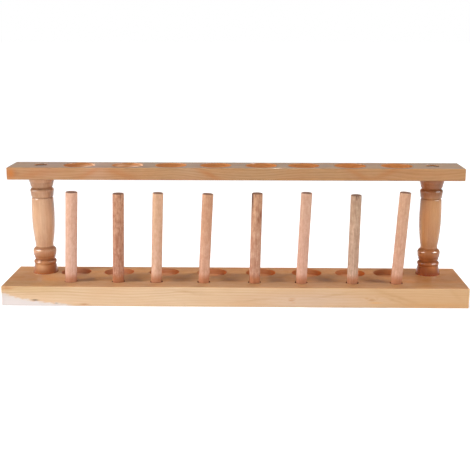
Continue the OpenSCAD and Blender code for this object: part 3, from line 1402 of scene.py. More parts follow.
@dataclass
class TopRail(RackPiece):
    """The drilled rail, with a well for a screw over each post.

    Attributes:
        ease, rim_ease: radius of its edges, and of the tube holes' rims.
        way: the way of its screws.
    """

    ease: float = 0.6 * MM
    rim_ease: float = 0.35 * MM
    way: ScrewWay = ScrewWay()

    def tube_hole(self, number: int, thick: float) -> Hole:
        """Finds one tube hole, which is rounded alike at both faces.

        Args:
            number: the hole's number, from the left.
            thick: the rail's thickness.

        Returns:
            The hole.
        """
        row = mount(f"tube_hole_{number}")
        half = rim_rings(row["dims"]["r_mm"] * MM, thick / 2, self.rim_ease)
        rings = np.concatenate([half, turned_over(half, thick)[1:]])
        return Hole(row["pos_m"][0], row["pos_m"][1], rings, through=True)

    def screw_way(self, side: str, thick: float) -> Hole:
        """Returns the hole of the rail screw at one end: a well, a seat and a pilot hole."""
        rings = np.concatenate([self.way.rounded_well(), self.way.seat(thick)])
        # The well is a dark hole: its walls are painted dark as shade.
        return self.way.hole(f"rail_screw_{side}", rings, dark=1.0)

    def build(self) -> Piece:
        """Cuts the rail into one cell for each hole.

        Returns:
            The rail, which replaces its node.
        """
        low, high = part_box("top_rail")
        thick = high.z - low.z
        holes = [self.tube_hole(number, thick) for number in range(1, PLACES + 1)]
        holes += [self.screw_way(side, thick) for side in SIDES]
        holes.sort(key=lambda hole: hole.x)
        breaks = middles([hole.x for hole in holes])
        board = DrilledBoard(low, high, self.ease, breaks, [], holes)
        rail = board.draft().build("drilled_rail", RACK, "rail_pine", 40)
        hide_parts("top_rail")
        return rail


@dataclass
class BaseBoard(RackPiece):
    """The base board, with recesses for the tubes' ends and leaning sockets for the pegs.

    Attributes:
        ease: radius of its edges.
        rim_ease: radius of the rims, and of the recesses' lower corners.
        recess_narrower: how much smaller a recess's radius is than its tube hole's.
        recess_depth: depth of the recesses.
        socket_r, socket_depth: size of the pegs' sockets.
        row_break: where the recesses' cells meet the sockets' cells.
        way: the way of its screws.
    """

    ease: float = 0.6 * MM
    rim_ease: float = 0.25 * MM
    recess_narrower: float = 0.35 * MM
    recess_depth: float = 4.0 * MM
    socket_r: float = 4.4 * MM
    socket_depth: float = 9.3 * MM
    row_break: float = -3.0 * MM
    way: ScrewWay = ScrewWay()

    def recess(self, number: int) -> Hole:
        """Finds the shallow recess under one tube hole.

        Args:
            number: the recess's number, from the left.

        Returns:
            The recess.
        """
        x, y = opening_middle(f"recess_{number}")
        radius = mount(f"tube_hole_{number}")["dims"]["r_mm"] * MM - self.recess_narrower
        wall = rim_rings(radius, self.recess_depth - self.rim_ease, self.rim_ease)
        middle = (radius - self.rim_ease, -self.recess_depth + self.rim_ease)
        corner = arc(middle, self.rim_ease, 0, -90, 4) * [1, -1]
        across = np.linspace(radius - 2 * self.rim_ease, 0.0, 6)
        floor = rows_of(across, self.recess_depth)
        return Hole(x, y, np.concatenate([wall, corner[1:], floor]))

    def socket(self, number: int, top: float) -> Hole:
        """Finds the socket of one peg, which leans as the peg does.

        Args:
            number: the peg's number, from the left.
            top: height of the base's top.

        Returns:
            The socket.
        """
        row = mount(f"drying_peg_{number}_shaft")
        x, y, z = row["pos_m"]
        lean = math.atan2(row["axis"][0], row["axis"][2])
        wall = rim_rings(self.socket_r, self.socket_depth, self.rim_ease)
        floor = np.array([[self.socket_r * 0.6, self.socket_depth], [0.0, self.socket_depth]])
        at_top = x + (top - z) * math.tan(lean)
        # The socket is a dark hole: its walls are painted dark as the shade round the peg.
        return Hole(at_top, y, np.concatenate([wall, floor]), lean=lean, dark=1.0)

    def screw_way(self, side: str, thick: float) -> Hole:
        """Returns the hole of the base screw under one post, which comes up from below."""
        rings = np.concatenate([self.way.straight_well(), self.way.seat(thick)])
        return self.way.hole(f"base_screw_{side}", turned_over(rings, thick))

    def build(self) -> Piece:
        """Cuts the base into two rows of cells, and puts the sockets in the front row.

        Returns:
            The base board, which replaces its node.
        """
        low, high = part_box("base_board")
        recesses = [self.recess(number) for number in range(1, PLACES + 1)]
        sockets = [self.socket(number, high.z) for number in range(1, PLACES + 1)]
        screws = [self.screw_way(side, high.z - low.z) for side in SIDES]
        places = [hole.x for hole in recesses]
        reach = recesses[0].rings[0, 0]
        first = (places[0] - reach + screws[0].x + self.way.well_r) / 2
        last = (places[-1] + reach + screws[1].x - self.way.well_r) / 2
        breaks = [first, *middles(places), last]
        holes = recesses + sockets + screws
        board = DrilledBoard(low, high, self.ease, breaks, [self.row_break], holes)
        base = board.draft().build("recessed_base", RACK, "base_pine", 40)
        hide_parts("base_board")
        return base


def bead(z: Array, middle: float, half: float, reach: float) -> Array:
    """Returns a bead's radius at each height: a circle as high as the bead, and zero beyond."""
    inside = np.clip(half**2 - (z - middle) ** 2, 0, None)
    return np.where(np.abs(z - middle) <= half, reach - half + np.sqrt(inside), 0)


def slope(z: Array, start: float, end: float, first: float, last: float) -> Array:
    """Returns a straight slope's radius at each height, from first to last, and zero beyond."""
    share = np.clip((z - start) / (end - start), 0, 1)
    return np.where((z >= start) & (z <= end), first + (last - first) * share, 0)


@dataclass
class TurnedPost(RackPiece):
    """One turned post: flared foot, bead, cup, vase, bead and collar.

    Names that end in _r are radii, those in _z heights above the foot, and those in _below
    distances down from the top. A bead's half is half its height.

    Attributes:
        side: which end of the rack it stands at.
        thinner: how much smaller its radius is all the way up.
    """

    side: str
    thinner: float = 0.0
    foot_r: float = 9.0 * MM
    ankle_r: float = 7.5 * MM
    ankle_z: float = 6.5 * MM
    low_bead_r: float = 8.1 * MM
    low_bead_z: float = 7.9 * MM
    low_bead_half: float = 1.7 * MM
    low_core_r: float = 6.8 * MM
    low_groove_z: float = 10.2 * MM
    cup_rim_z: float = 12.8 * MM
    cup_rim_step: float = 0.35 * MM
    cup_z: float = 15.9 * MM
    cup_half: float = 2.9 * MM
    neck_r: float = 6.3 * MM
    neck_z: float = 21.0 * MM
    vase_r: float = 8.0 * MM
    vase_top_r: float = 7.6 * MM
    belly_below: float = 28.3 * MM
    groove_below: float = 14.5 * MM
    core_r: float = 7.2 * MM
    bead_r: float = 8.3 * MM
    bead_below: float = 9.6 * MM
    bead_half: float = 1.9 * MM
    collar_groove_below: float = 7.3 * MM
    collar_r: float = 8.8 * MM
    collar_below: float = 3.2 * MM
    collar_step: float = 0.3 * MM
    collar_flare: float = 0.1 * MM
    groove_half: float = 0.5 * MM
    turning_step: float = 0.5 * MM
    end_ease: float = 0.2 * MM
    pilot_r: float = ScrewWay.pilot_r
    pilot_spare: float = 1.0 * MM
    spacing: float = 0.14 * MM
    soften: float = 0.16 * MM

    def vase(self, z: Array, belly: float, end: float) -> Array:
        """Works out the radius of the vase: one arc below the belly, a flatter one above it.

        Args:
            z: heights above the foot.
            belly: where the vase is widest.
            end: its upper end.

        Returns:
            The radius at each height, and zero beyond the ends.
        """
        reach = np.where(z < belly, belly - self.neck_z, end - belly)
        sag = self.vase_r - np.where(z < belly, self.neck_r, self.vase_top_r)
        bow = (reach**2 + sag**2) / (2 * sag)
        radius = self.vase_r - bow + np.sqrt(np.clip(bow**2 - (z - belly) ** 2, 0, None))
        return np.where((z >= self.cup_z) & (z <= end), radius, 0)

    def radius(self, z: Array, height: float) -> Array:
        """Works out the post's outline: at each height the widest of its turnings.

        Beads and the cup's shoulder are circles, the vase is two long arcs, and the rest are
        slopes. A bell-shaped average then softens every corner, as sanding and varnish do.

        Args:
            z: heights above the foot.
            height: the post's height.

        Returns:
            The radius at each height.
        """
        groove = height - self.groove_below
        bead_z = height - self.bead_below
        collar_groove = height - self.collar_groove_below
        collar = height - self.collar_below
        vase_end = groove - self.groove_half
        cup_foot = self.low_groove_z + self.groove_half
        step = self.core_r + self.turning_step
        low_step = self.low_core_r + self.turning_step
        rim = self.bead_r - self.cup_rim_step
        turnings = [
            np.where(z <= self.cup_z, self.low_core_r, self.neck_r),
            np.where(z >= vase_end, self.core_r, 0),
            slope(z, 0, self.ankle_z, self.foot_r, self.ankle_r),
            bead(z, self.low_bead_z, self.low_bead_half, self.low_bead_r),
            slope(z, cup_foot, self.cup_rim_z, low_step, rim - self.cup_rim_step),
            slope(z, self.cup_rim_z, self.cup_z, rim, self.bead_r),
            bead(z, self.cup_z, self.cup_half, self.bead_r),
            self.vase(z, height - self.belly_below, vase_end),
            slope(z, groove + self.groove_half, bead_z, step, self.bead_r),
            bead(z, bead_z, self.bead_half, self.bead_r),
            slope(z, collar_groove + self.groove_half, collar, step, self.collar_r - self.collar_step),
            slope(z, collar, height, self.collar_r - self.collar_flare, self.collar_r),
        ]
        outline = np.max(turnings, axis=0) - self.thinner
        reach = round(3 * self.soften / self.spacing)
        bell = np.exp(-0.5 * (np.arange(-reach, reach + 1) * self.spacing / self.soften) ** 2)
        padded = np.pad(outline, reach, mode="edge")
        return np.convolve(padded, bell / bell.sum(), mode="valid")

    def depth(self, outline: Array) -> Array:
        """Finds how deep each height lies in a groove: its drop below its neighbours.

        Args:
            outline: the radius at each height.

        Returns:
            The depth, from 0 to 1, and 1 where the drop is a millimetre or more.
        """
        reach = round(1.1 * MM / self.spacing)
        padded = np.pad(outline, reach, mode="edge")
        windows = np.lib.stride_tricks.sliding_window_view(padded, 2 * reach + 1)
        return np.clip((windows.max(axis=1) - outline) / (1.0 * MM), 0, 1)

    def pilot(self, start: float, end: float) -> Array:
        """Returns rows of radius and height along a pilot hole's wall."""
        height = np.linspace(start, end, 6)
        return rows_of(self.pilot_r, height)

    def build(self) -> Piece:
        """Turns the post round its pilot holes, which reach a little past the screws.

        Returns:
            The post, which replaces its node.
        """
        node = f"{self.side}_post"
        low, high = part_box(node)
        height = high.z - low.z
        foot_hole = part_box(f"base_screw_{self.side}")[1].z - low.z + self.pilot_spare
        top_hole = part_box(f"rail_screw_{self.side}")[0].z - low.z - self.pilot_spare
        z = np.linspace(0, height, round(height / self.spacing) + 1)
        outline = self.radius(z, height)
        below = self.pilot(foot_hole, 0)
        profile = np.concatenate([
            [[0.0, foot_hole]], below, [[outline[0] - self.end_ease, 0.0]],
            rows_of(outline, z),
            [[outline[-1] - self.end_ease, height]], self.pilot(height, top_hole), [[0.0, top_hole]],
        ])
        depth = np.zeros(len(profile))
        start = 2 + len(below)
        # How deep a groove lies darkens it through the finish: painted shade.
        depth[start:start + len(outline)] = self.depth(outline)
        centre = Vector(((low.x + high.x) / 2, (low.y + high.y) / 2, low.z))
        points = revolve(profile, centre)
        draft = MeshDraft()
        draft.grid(points, closed=True, marks=np.repeat(depth[:, None], points.shape[1], axis=1))
        post = draft.build(f"turned_{node}", RACK, f"{node}_pine", 50)
        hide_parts(node)
        return post


@dataclass
class DryingPeg(RackPiece):
    """One dowel peg: thinned foot, slightly uneven shaft and bevelled top.

    Attributes:
        number: its number, from the left.
        splits: drying cracks in its top.
        foot_thinner: how much smaller the radius is at the foot.
        uneven: how far the shaft strays from a true cylinder at most.
        rim_reach: how far in from the side the unevenness and the cracks reach.
        worn, worn_dark: height and darkness of the worn edge at the top.
        segments, rows: how many points lie round the shaft and along it.
    """

    number: int
    splits: tuple[Split, ...] = ()
    foot_thinner: float = 0.4 * MM
    uneven: float = 0.07 * MM
    rim_reach: float = 1.2 * MM
    worn: float = 0.3 * MM
    worn_dark: float = 0.85
    segments: int = 72
    rows: int = 160

    def build(self) -> Piece:
        """Turns the peg round its own leaning axis and weathers it.

        Returns:
            The peg, which replaces its node.
        """
        row = mount(f"drying_peg_{self.number}_shaft")
        axis = Vector(row["axis"]).normalized()
        radius = row["dims"]["r_mm"] * MM
        half = row["dims"]["length_mm"] * MM / 2
        foot = Vector(row["pos_m"]) - axis * (half + PEG_LEAD)
        length = 2 * half + PEG_LEAD + PEG_BEVEL
        shaft = np.linspace(0, length - PEG_BEVEL, self.rows)
        thin = self.foot_thinner * np.clip(1 - shaft / PEG_LEAD, 0, 1)
        wall = rows_of(radius - thin, shaft)
        bevel = np.array([
            [radius - PEG_BEVEL * 0.35, length - PEG_BEVEL * 0.45], [radius - PEG_BEVEL, length],
        ])
        across = np.linspace(radius - PEG_BEVEL - 0.15 * MM, 0, 10)
        end = rows_of(across, length)
        under = rows_of(np.linspace(0, wall[0, 0], 4)[:-1], 0.0)
        profile = np.concatenate([under, wall, bevel, end])
        points = revolve(profile, foot, axis, self.segments)
        points, marks = self.weather(points, profile, foot, axis)
        draft = MeshDraft()
        draft.grid(points, closed=True, marks=marks)
        peg = draft.build(f"dowel_peg_{self.number}", f"peg_{self.number}", "bare_dowel", 35)
        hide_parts(f"drying_peg_{self.number}")
        return peg

    def weather(
        self, points: Array, profile: Array, foot: Vector, axis: Vector
    ) -> tuple[Array, Array]:
        """Takes the peg off true, inwards only, and opens its drying cracks.

        The shaft loses a little radius by a sum of slow sine waves round and along it. A crack
        is a bell-shaped groove that fades down from the top.

        Args:
            points: the true surface, rows by segments by 3.
            profile: rows of radius and height.
            foot, axis: where height is zero, and the peg's direction.

        Returns:
            The moved points, and how dark each is.
        """
        turn = np.linspace(0, 2 * math.pi, self.segments, endpoint=False)[None, :]
        reach, height = profile[:, 0, None], profile[:, 1, None]
        random = np.random.default_rng(40 + self.number)
        phase = random.uniform(0, 2 * math.pi, 6)
        waves = (
            np.sin(2 * turn + phase[0] + height * 60)
            + 0.8 * np.sin(3 * turn + phase[1] - height * 140)
            + 0.7 * np.sin(height * 330 + phase[2] + np.sin(turn + phase[3]))
            + 0.5 * np.sin(height * 900 + phase[4] + 2 * np.sin(turn + phase[5]))
        )
        loss = self.uneven * (waves + 3.0) / 6.0
        top = height.max()
        dark = np.zeros(points.shape[:2])
        for split in self.splits:
            gap = np.angle(np.exp(1j * (turn - math.radians(split.angle))))
            across = np.exp(-((gap * reach.max() / split.width) ** 2))
            along = np.clip((height - top + split.length) / split.length, 0, 1) ** 0.5
            loss = loss + split.depth * across * along
            dark = np.maximum(dark, across * along)
        rim = np.clip(1 - np.abs(reach - reach.max()) / self.rim_reach, 0, 1)
        centre = np.array(foot) + profile[:, 1, None, None] * np.array(axis)
        spoke = points - centre
        size = np.linalg.norm(spoke, axis=-1, keepdims=True)
        keep = np.clip(1 - (loss * rim)[..., None] / np.maximum(size, 1e-9), 0, 1)
        edge = (height > top - self.worn) & (reach > 0)
        return centre + spoke * keep, np.maximum(dark, self.worn_dark * edge)


@dataclass
class WoodScrew(RackPiece):
    """A countersunk cross-slot screw with a real thread below its head.

    Attributes:
        node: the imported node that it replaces.
        points_up: whether it is driven upwards.
        head_r, shank_r, core_r: radius of the head, of the shank and of the thread's core.
        head_edge: height of the head's straight edge.
        plain, tip: how far down the plain shank reaches, and the tip's length.
        pitch: rise of the thread in one turn.
        slot_half, slot_reach, slot_depth: half width, length and depth of the slots' arms.
        segments: how many points lie round it.
    """

    node: str
    points_up: bool
    head_r: float = 4.0 * MM
    shank_r: float = 2.0 * MM
    core_r: float = 1.4 * MM
    head_edge: float = 0.4 * MM
    plain: float = 9.0 * MM
    tip: float = 4.0 * MM
    pitch: float = 1.9 * MM
    slot_half: float = 0.55 * MM
    slot_reach: float = 2.2 * MM
    slot_depth: float = 1.4 * MM
    segments: int = 64

    def head(self) -> tuple[Array, Array]:
        """Works out the flat of the head with its cross slot.

        It is sunk, with a steep wall, wherever the smaller of the offsets from the slots'
        middle lines is under their half width.

        Returns:
            Points with the head's flat at z = 0, and their darkness.
        """
        turn = np.linspace(0, 2 * math.pi, self.segments, endpoint=False)
        reach = np.linspace(0, self.head_r, 40)[:, None]
        x = reach * np.cos(turn)
        y = reach * np.sin(turn)
        inner = np.clip((self.slot_half - np.minimum(np.abs(x), np.abs(y))) / (0.12 * MM), 0, 1)
        ends = np.clip((self.slot_reach - reach) / (0.25 * MM), 0, 1)
        drop = inner * ends
        return rows_of(x, y, drop * self.slot_depth), drop

    def shank(self, length: float) -> Array:
        """Works out the side from the head's rim to the tip.

        Below the plain shank the radius is a triangle wave of the height, which moves on by one
        pitch in each turn.

        Args:
            length: the screw's length.

        Returns:
            Points with the head's flat at z = 0 and the tip at the length.
        """
        turn = np.linspace(0, 2 * math.pi, self.segments, endpoint=False)[None, :]
        neck = self.head_edge + self.head_r - self.shank_r
        rows = np.concatenate([
            [0.0, self.head_edge], np.linspace(neck, self.plain, 4),
            np.arange(self.plain, length, 0.16 * MM)[1:], [length],
        ])[:, None]
        phase = (rows / self.pitch - turn / (2 * math.pi)) % 1.0
        crest = np.clip(1 - np.abs(phase - 0.5) * 3.2, 0, 1)
        start = np.clip((rows - self.plain) / (2 * MM), 0, 1)
        core = self.shank_r + (self.core_r - self.shank_r) * start
        taper = np.clip((length - rows) / self.tip, 0, 1)
        narrow = np.where(rows > self.plain, 0.12 + 0.88 * taper, 1.0)
        radius = (core + (self.shank_r - core) * crest) * narrow
        radius = np.where(rows <= self.head_edge, self.head_r, radius)
        points = rows_of(radius * np.cos(turn), radius * np.sin(turn), rows)
        return np.concatenate([points, np.repeat([[[0.0, 0.0, length]]], self.segments, axis=1)])

    def build(self) -> Piece:
        """Sets the head's flat at one end of the node's box and the tip at the other.

        Returns:
            The screw, which replaces its node.
        """
        low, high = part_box(self.node)
        middle = box_middle(self.node)
        flat, dark = self.head()
        side = self.shank(high.z - low.z)
        direction = 1.0 if self.points_up else -1.0
        origin = np.array([middle.x, middle.y, low.z if self.points_up else high.z])
        draft = MeshDraft()
        draft.grid(origin + flat * [1, 1, direction], closed=True, marks=dark)
        draft.grid(origin + side * [1, 1, direction], closed=True)
        screw = draft.build(f"{self.node}_cross_head", RACK, "screw_steel", 40)
        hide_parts(self.node)
        return screw


# ---------------- camera and light


def facing(place: Triple, aim: Triple) -> Euler:
    """Returns the turn of a camera or a lamp that faces from one place to another."""
    return (Vector(aim) - Vector(place)).to_track_quat("-Z", "Y").to_euler()


@dataclass
class StudioCamera:
    """The photographer's camera, settled by the image points.

    Attributes:
        place, aim: where it stands, and a point that its axis passes through.
        lens, sensor: its focal length and its sensor's width, in millimetres.
    """

    place: Triple = (0.0130, -0.6218, 0.1862)
    aim: Triple = (0.0, 0.0, 0.0447)
    lens: float = 69.25
    sensor: float = 36.0

    def build(self) -> None:
        """Sets the camera up, and makes it the scene's."""
        data = bpy.data.cameras.new("studio_camera")
        data.lens = self.lens
        data.sensor_width = self.sensor
        data.sensor_fit = "AUTO"
        data.clip_start = 0.01
        data.clip_end = 50.0
        camera = bpy.data.objects.new("studio_camera", data)
        camera.location = self.place
        camera.rotation_euler = facing(self.place, self.aim)
        bpy.context.scene.collection.objects.link(camera)
        bpy.context.scene.camera = camera
        bpy.context.view_layer.update()

    def shown(self, places: Array) -> Array:
        """Finds where places show.

        Args:
            places: rows of x, y and z, in metres.

        Returns:
            Their image points, as rows of x and y.
        """
        width, height = PHOTO_SIZE
        matrix = bpy.context.scene.camera.matrix_world
        local = (places - np.array(matrix.translation)) @ np.array(matrix.to_3x3())
        scale = -max(width, height) * (self.lens / self.sensor) / local[:, 2]
        return rows_of(local[:, 0] * scale + width / 2, height / 2 - local[:, 1] * scale)


@dataclass(frozen=True)
class SoftLamp:
    """A square lamp.

    Out of gloss, it lights the wood without showing in the varnish. If it lights no wood, it
    shows in the varnish alone, as the glow of another lamp's diffuser.

    Attributes:
        name, place: its name, and where it hangs.
        width, power: its width in metres, and its watts.
        in_gloss: whether the varnish mirrors it.
        lights_wood: whether it lights the wood.
    """

    name: str
    place: Triple
    width: float
    power: float
    in_gloss: bool = True
    lights_wood: bool = True


@dataclass
class Studio:
    """A white floor and backdrop, and soft lamps above, in front, behind and at the sides.

    Attributes:
        floor_size: how wide the floor is, in metres.
        paper: brightness of the floor's paper.
        near, far: distances from the rack between which the floor's own glow grows.
        near_glow: the glow up to the near distance; it is 1 from the far one on.
        ambient: strength of the world's light on the rack.
        gloss: how bright the floor and the world look in gloss.
        aim: the point that the lamps face.
        lamps: the lamps.
    """

    floor_size: float = 24.0
    paper: float = 0.7
    near: float = 0.35
    far: float = 1.6
    near_glow: float = 0.52
    ambient: float = 0.18
    gloss: float = 0.3
    aim: Triple = (0.0, 0.0, 0.05)
    lamps: tuple[SoftLamp, ...] = (
        SoftLamp("top_lamp", (0.086, 0.27, 1.1), 0.08, 3.1),
        SoftLamp("front_softbox", (-0.5, -1.2, 0.2), 0.6, 8.2, in_gloss=False),
        SoftLamp("back_fill", (0.3, 1.4, 0.5), 0.8, 4.0, in_gloss=False),
        SoftLamp("left_key", (-0.6, -0.165, 0.5), 0.16, 3.3, in_gloss=False),
        SoftLamp("right_key", (0.6, -0.165, 0.5), 0.16, 2.7, in_gloss=False),
        SoftLamp("left_glow", (-0.6, -0.15, 0.36), 0.26, 6.5, lights_wood=False),
        SoftLamp("right_glow", (0.6, -0.15, 0.36), 0.26, 6.5, lights_wood=False),
        SoftLamp("far_left_glow", (-1.2, -0.8, 1.2), 0.5, 20.0, lights_wood=False),
        SoftLamp("far_right_glow", (1.2, -0.8, 1.2), 0.5, 20.0, lights_wood=False),
    )

    def hang(self, lamp: SoftLamp) -> None:
        """Adds one lamp, facing the rack.

        Args:
            lamp: the lamp.
        """
        data = bpy.data.lights.new(lamp.name, "AREA")
        data.shape = "SQUARE"
        data.size = lamp.width
        data.energy = lamp.power
        light = bpy.data.objects.new(lamp.name, data)
        light.location = lamp.place
        light.rotation_euler = facing(lamp.place, self.aim)
        light.visible_glossy = lamp.in_gloss
        light.visible_diffuse = lamp.lights_wood
        bpy.context.scene.collection.objects.link(light)

    @staticmethod
    def seen(graph: Graph) -> tuple[Socket, Socket]:
        """Returns masks of the rays that see by eye or through glass, and of those in gloss."""
        eye, gloss, glass = graph.rays("Is Camera Ray", "Is Glossy Ray", "Is Transmission Ray")
        return graph.maths("MAXIMUM", eye, glass), gloss

    def paper_white(self) -> bpy.types.Material:
        """Makes the floor white to the eye, with the rack's shadow kept.

        Its own glow makes up what the lamps leave out, and grows with the distance, so that the
        floor runs into the backdrop without a line.

        Returns:
            The floor's material.
        """
        material = bpy.data.materials.new("white_floor")
        graph = Graph.of(material)
        eye, gloss = self.seen(graph)
        away = graph.vector("LENGTH", graph.place(), result="Value")
        white = graph.times(eye, graph.between(away, self.near, self.far, self.near_glow, 1.0))
        strength = graph.maths("ADD", white, graph.times(gloss, self.gloss))
        paper = graph.add("ShaderNodeBsdfDiffuse", {"Color": (self.paper,) * 3})
        glow = graph.add("ShaderNodeEmission", {"Strength": strength})
        both = graph.add("ShaderNodeAddShader", {0: paper.outputs[0], 1: glow.outputs[0]})
        graph.add("ShaderNodeOutputMaterial", {"Surface": both.outputs[0]})
        return material

    def floor(self) -> None:
        """Adds the floor, one square round the rack."""
        half = self.floor_size / 2
        corners = [(-half, -half, 0.0), (half, -half, 0.0), (half, half, 0.0), (-half, half, 0.0)]
        mesh = bpy.data.meshes.new("studio_floor")
        mesh.from_pydata(corners, [], [[0, 1, 2, 3]])
        floor = bpy.data.objects.new("studio_floor", mesh)
        bpy.context.scene.collection.objects.link(floor)
        mesh.materials.append(self.paper_white())

    def world(self) -> None:
        """Makes the world white to the eye, greyer to gloss, and a soft fill for the rest."""
        world = bpy.data.worlds.new("studio_world")
        graph = Graph.of(world)
        eye, gloss = self.seen(graph)
        strength = graph.maths("MULTIPLY_ADD", eye, 1.0 - self.ambient, self.ambient)
        strength = graph.maths("MULTIPLY_ADD", gloss, self.gloss - self.ambient, strength)
        back = graph.add("ShaderNodeBackground", {"Color": (1.0, 1.0, 1.0), "Strength": strength})
        graph.add("ShaderNodeOutputWorld", {"Surface": back.outputs[0]})
        bpy.context.scene.world = world

    def build(self) -> None:
        """Adds the floor, the world and the lamps, and sets the view to Standard."""
        self.floor()
        self.world()
        for lamp in self.lamps:
            self.hang(lamp)
        bpy.context.scene.view_settings.view_transform = "Standard"


# ---------------- this rack


RAIL_END_KNOT = KnotSpot(-156.0, -1.0, 88.3, 4.5, 0.9)
BASE_PIN_KNOT = KnotSpot(39.5, -27.0, 5.2, 1.4, 1.6)
BASE_NICK = Mark(-137.3, -27.0, 4.2, 0.5, (0.24, 0.3, 1.0), srgb(96, 60, 44), 0.95)


def rail_finish(top_height: float) -> VarnishedPine:
    """Mixes the rail's finish: tan, with slanting flames and an orange knot at its end.

    Args:
        top_height: height of the rail's top, whose face is tinted greyer and cooler: painted sheen.

    Returns:
        The finish.
    """
    return VarnishedPine(
        name="varnished_rail_pine",
        early=srgb(191, 147, 101), late=srgb(153, 100, 55), warm=srgb(198, 122, 62),
        pith=(0.0, 6.0, 118.0), ring_width=1.9, wander=16.0,
        ring_share=0.4, fibre_share=0.22, cloud_share=0.3, coat=1.0,
        # bare is painted shade inside the rail's screw wells.
        inner=srgb(200, 126, 68), inner_share=1.0, bare=srgb(128, 92, 64),
        # The rail's top is tinted greyer and cooler: painted sheen.
        top_tint=srgb(234, 243, 255), top_height=top_height,
        knots=(RAIL_END_KNOT,),
        flames=(
            FlameStreak(-101.0, 89.0, 0.42, 9.0, 1.9, 0.5),
            FlameStreak(-79.0, 88.0, -0.3, 11.0, 2.2, 0.5),
            FlameStreak(-18.0, 88.0, -0.45, 9.0, 1.8, 0.55),
            FlameStreak(84.0, 89.0, -0.5, 9.0, 2.0, 0.45),
            FlameStreak(106.0, 89.5, 0.4, 9.0, 2.0, 0.45),
            FlameStreak(-142.0, 87.5, 0.12, 13.0, 2.6, 0.5),
        ),
        marks=(
            Mark(-156.4, -1.3, 88.2, 2.7, (1.0, 0.5, 0.75), srgb(202, 114, 36), 0.8),
            # Paler, cooler patches on the rail's top: painted sheen.
            Mark(-131.8, 16.2, 92.4, 8.0, (0.6, 0.4, 0.4), (0.96, 0.98, 1.3), 1.0, Blend.MULTIPLIED),
            Mark(-96.1, 16.9, 92.4, 8.0, (0.9, 0.3, 0.4), (1.15, 1.3, 1.9), 1.0, Blend.MULTIPLIED),
            Mark(-31.1, 18.3, 92.4, 8.0, (0.9, 0.3, 0.4), (1.06, 1.16, 1.45), 1.0, Blend.MULTIPLIED),
            # Near-white spots on the back walls of the first two tube holes: painted highlights.
            Mark(-104.5, 22.0, 89.6, 0.9, (0.16, 0.2, 1.0), srgb(250, 226, 200), 0.75),
            Mark(-100.5, 18.5, 91.4, 0.7, (0.2, 0.2, 1.0), srgb(250, 226, 200), 0.7),
            Mark(-71.5, 22.0, 89.6, 0.9, (0.16, 0.2, 1.0), srgb(250, 226, 200), 0.7),
            Mark(-67.5, 18.5, 91.4, 0.7, (0.2, 0.2, 1.0), srgb(250, 226, 200), 0.6),
            Mark(-83.0, 21.5, 90.6, 0.9, (0.2, 0.2, 1.0), srgb(244, 214, 180), 0.55),
        ),
    )


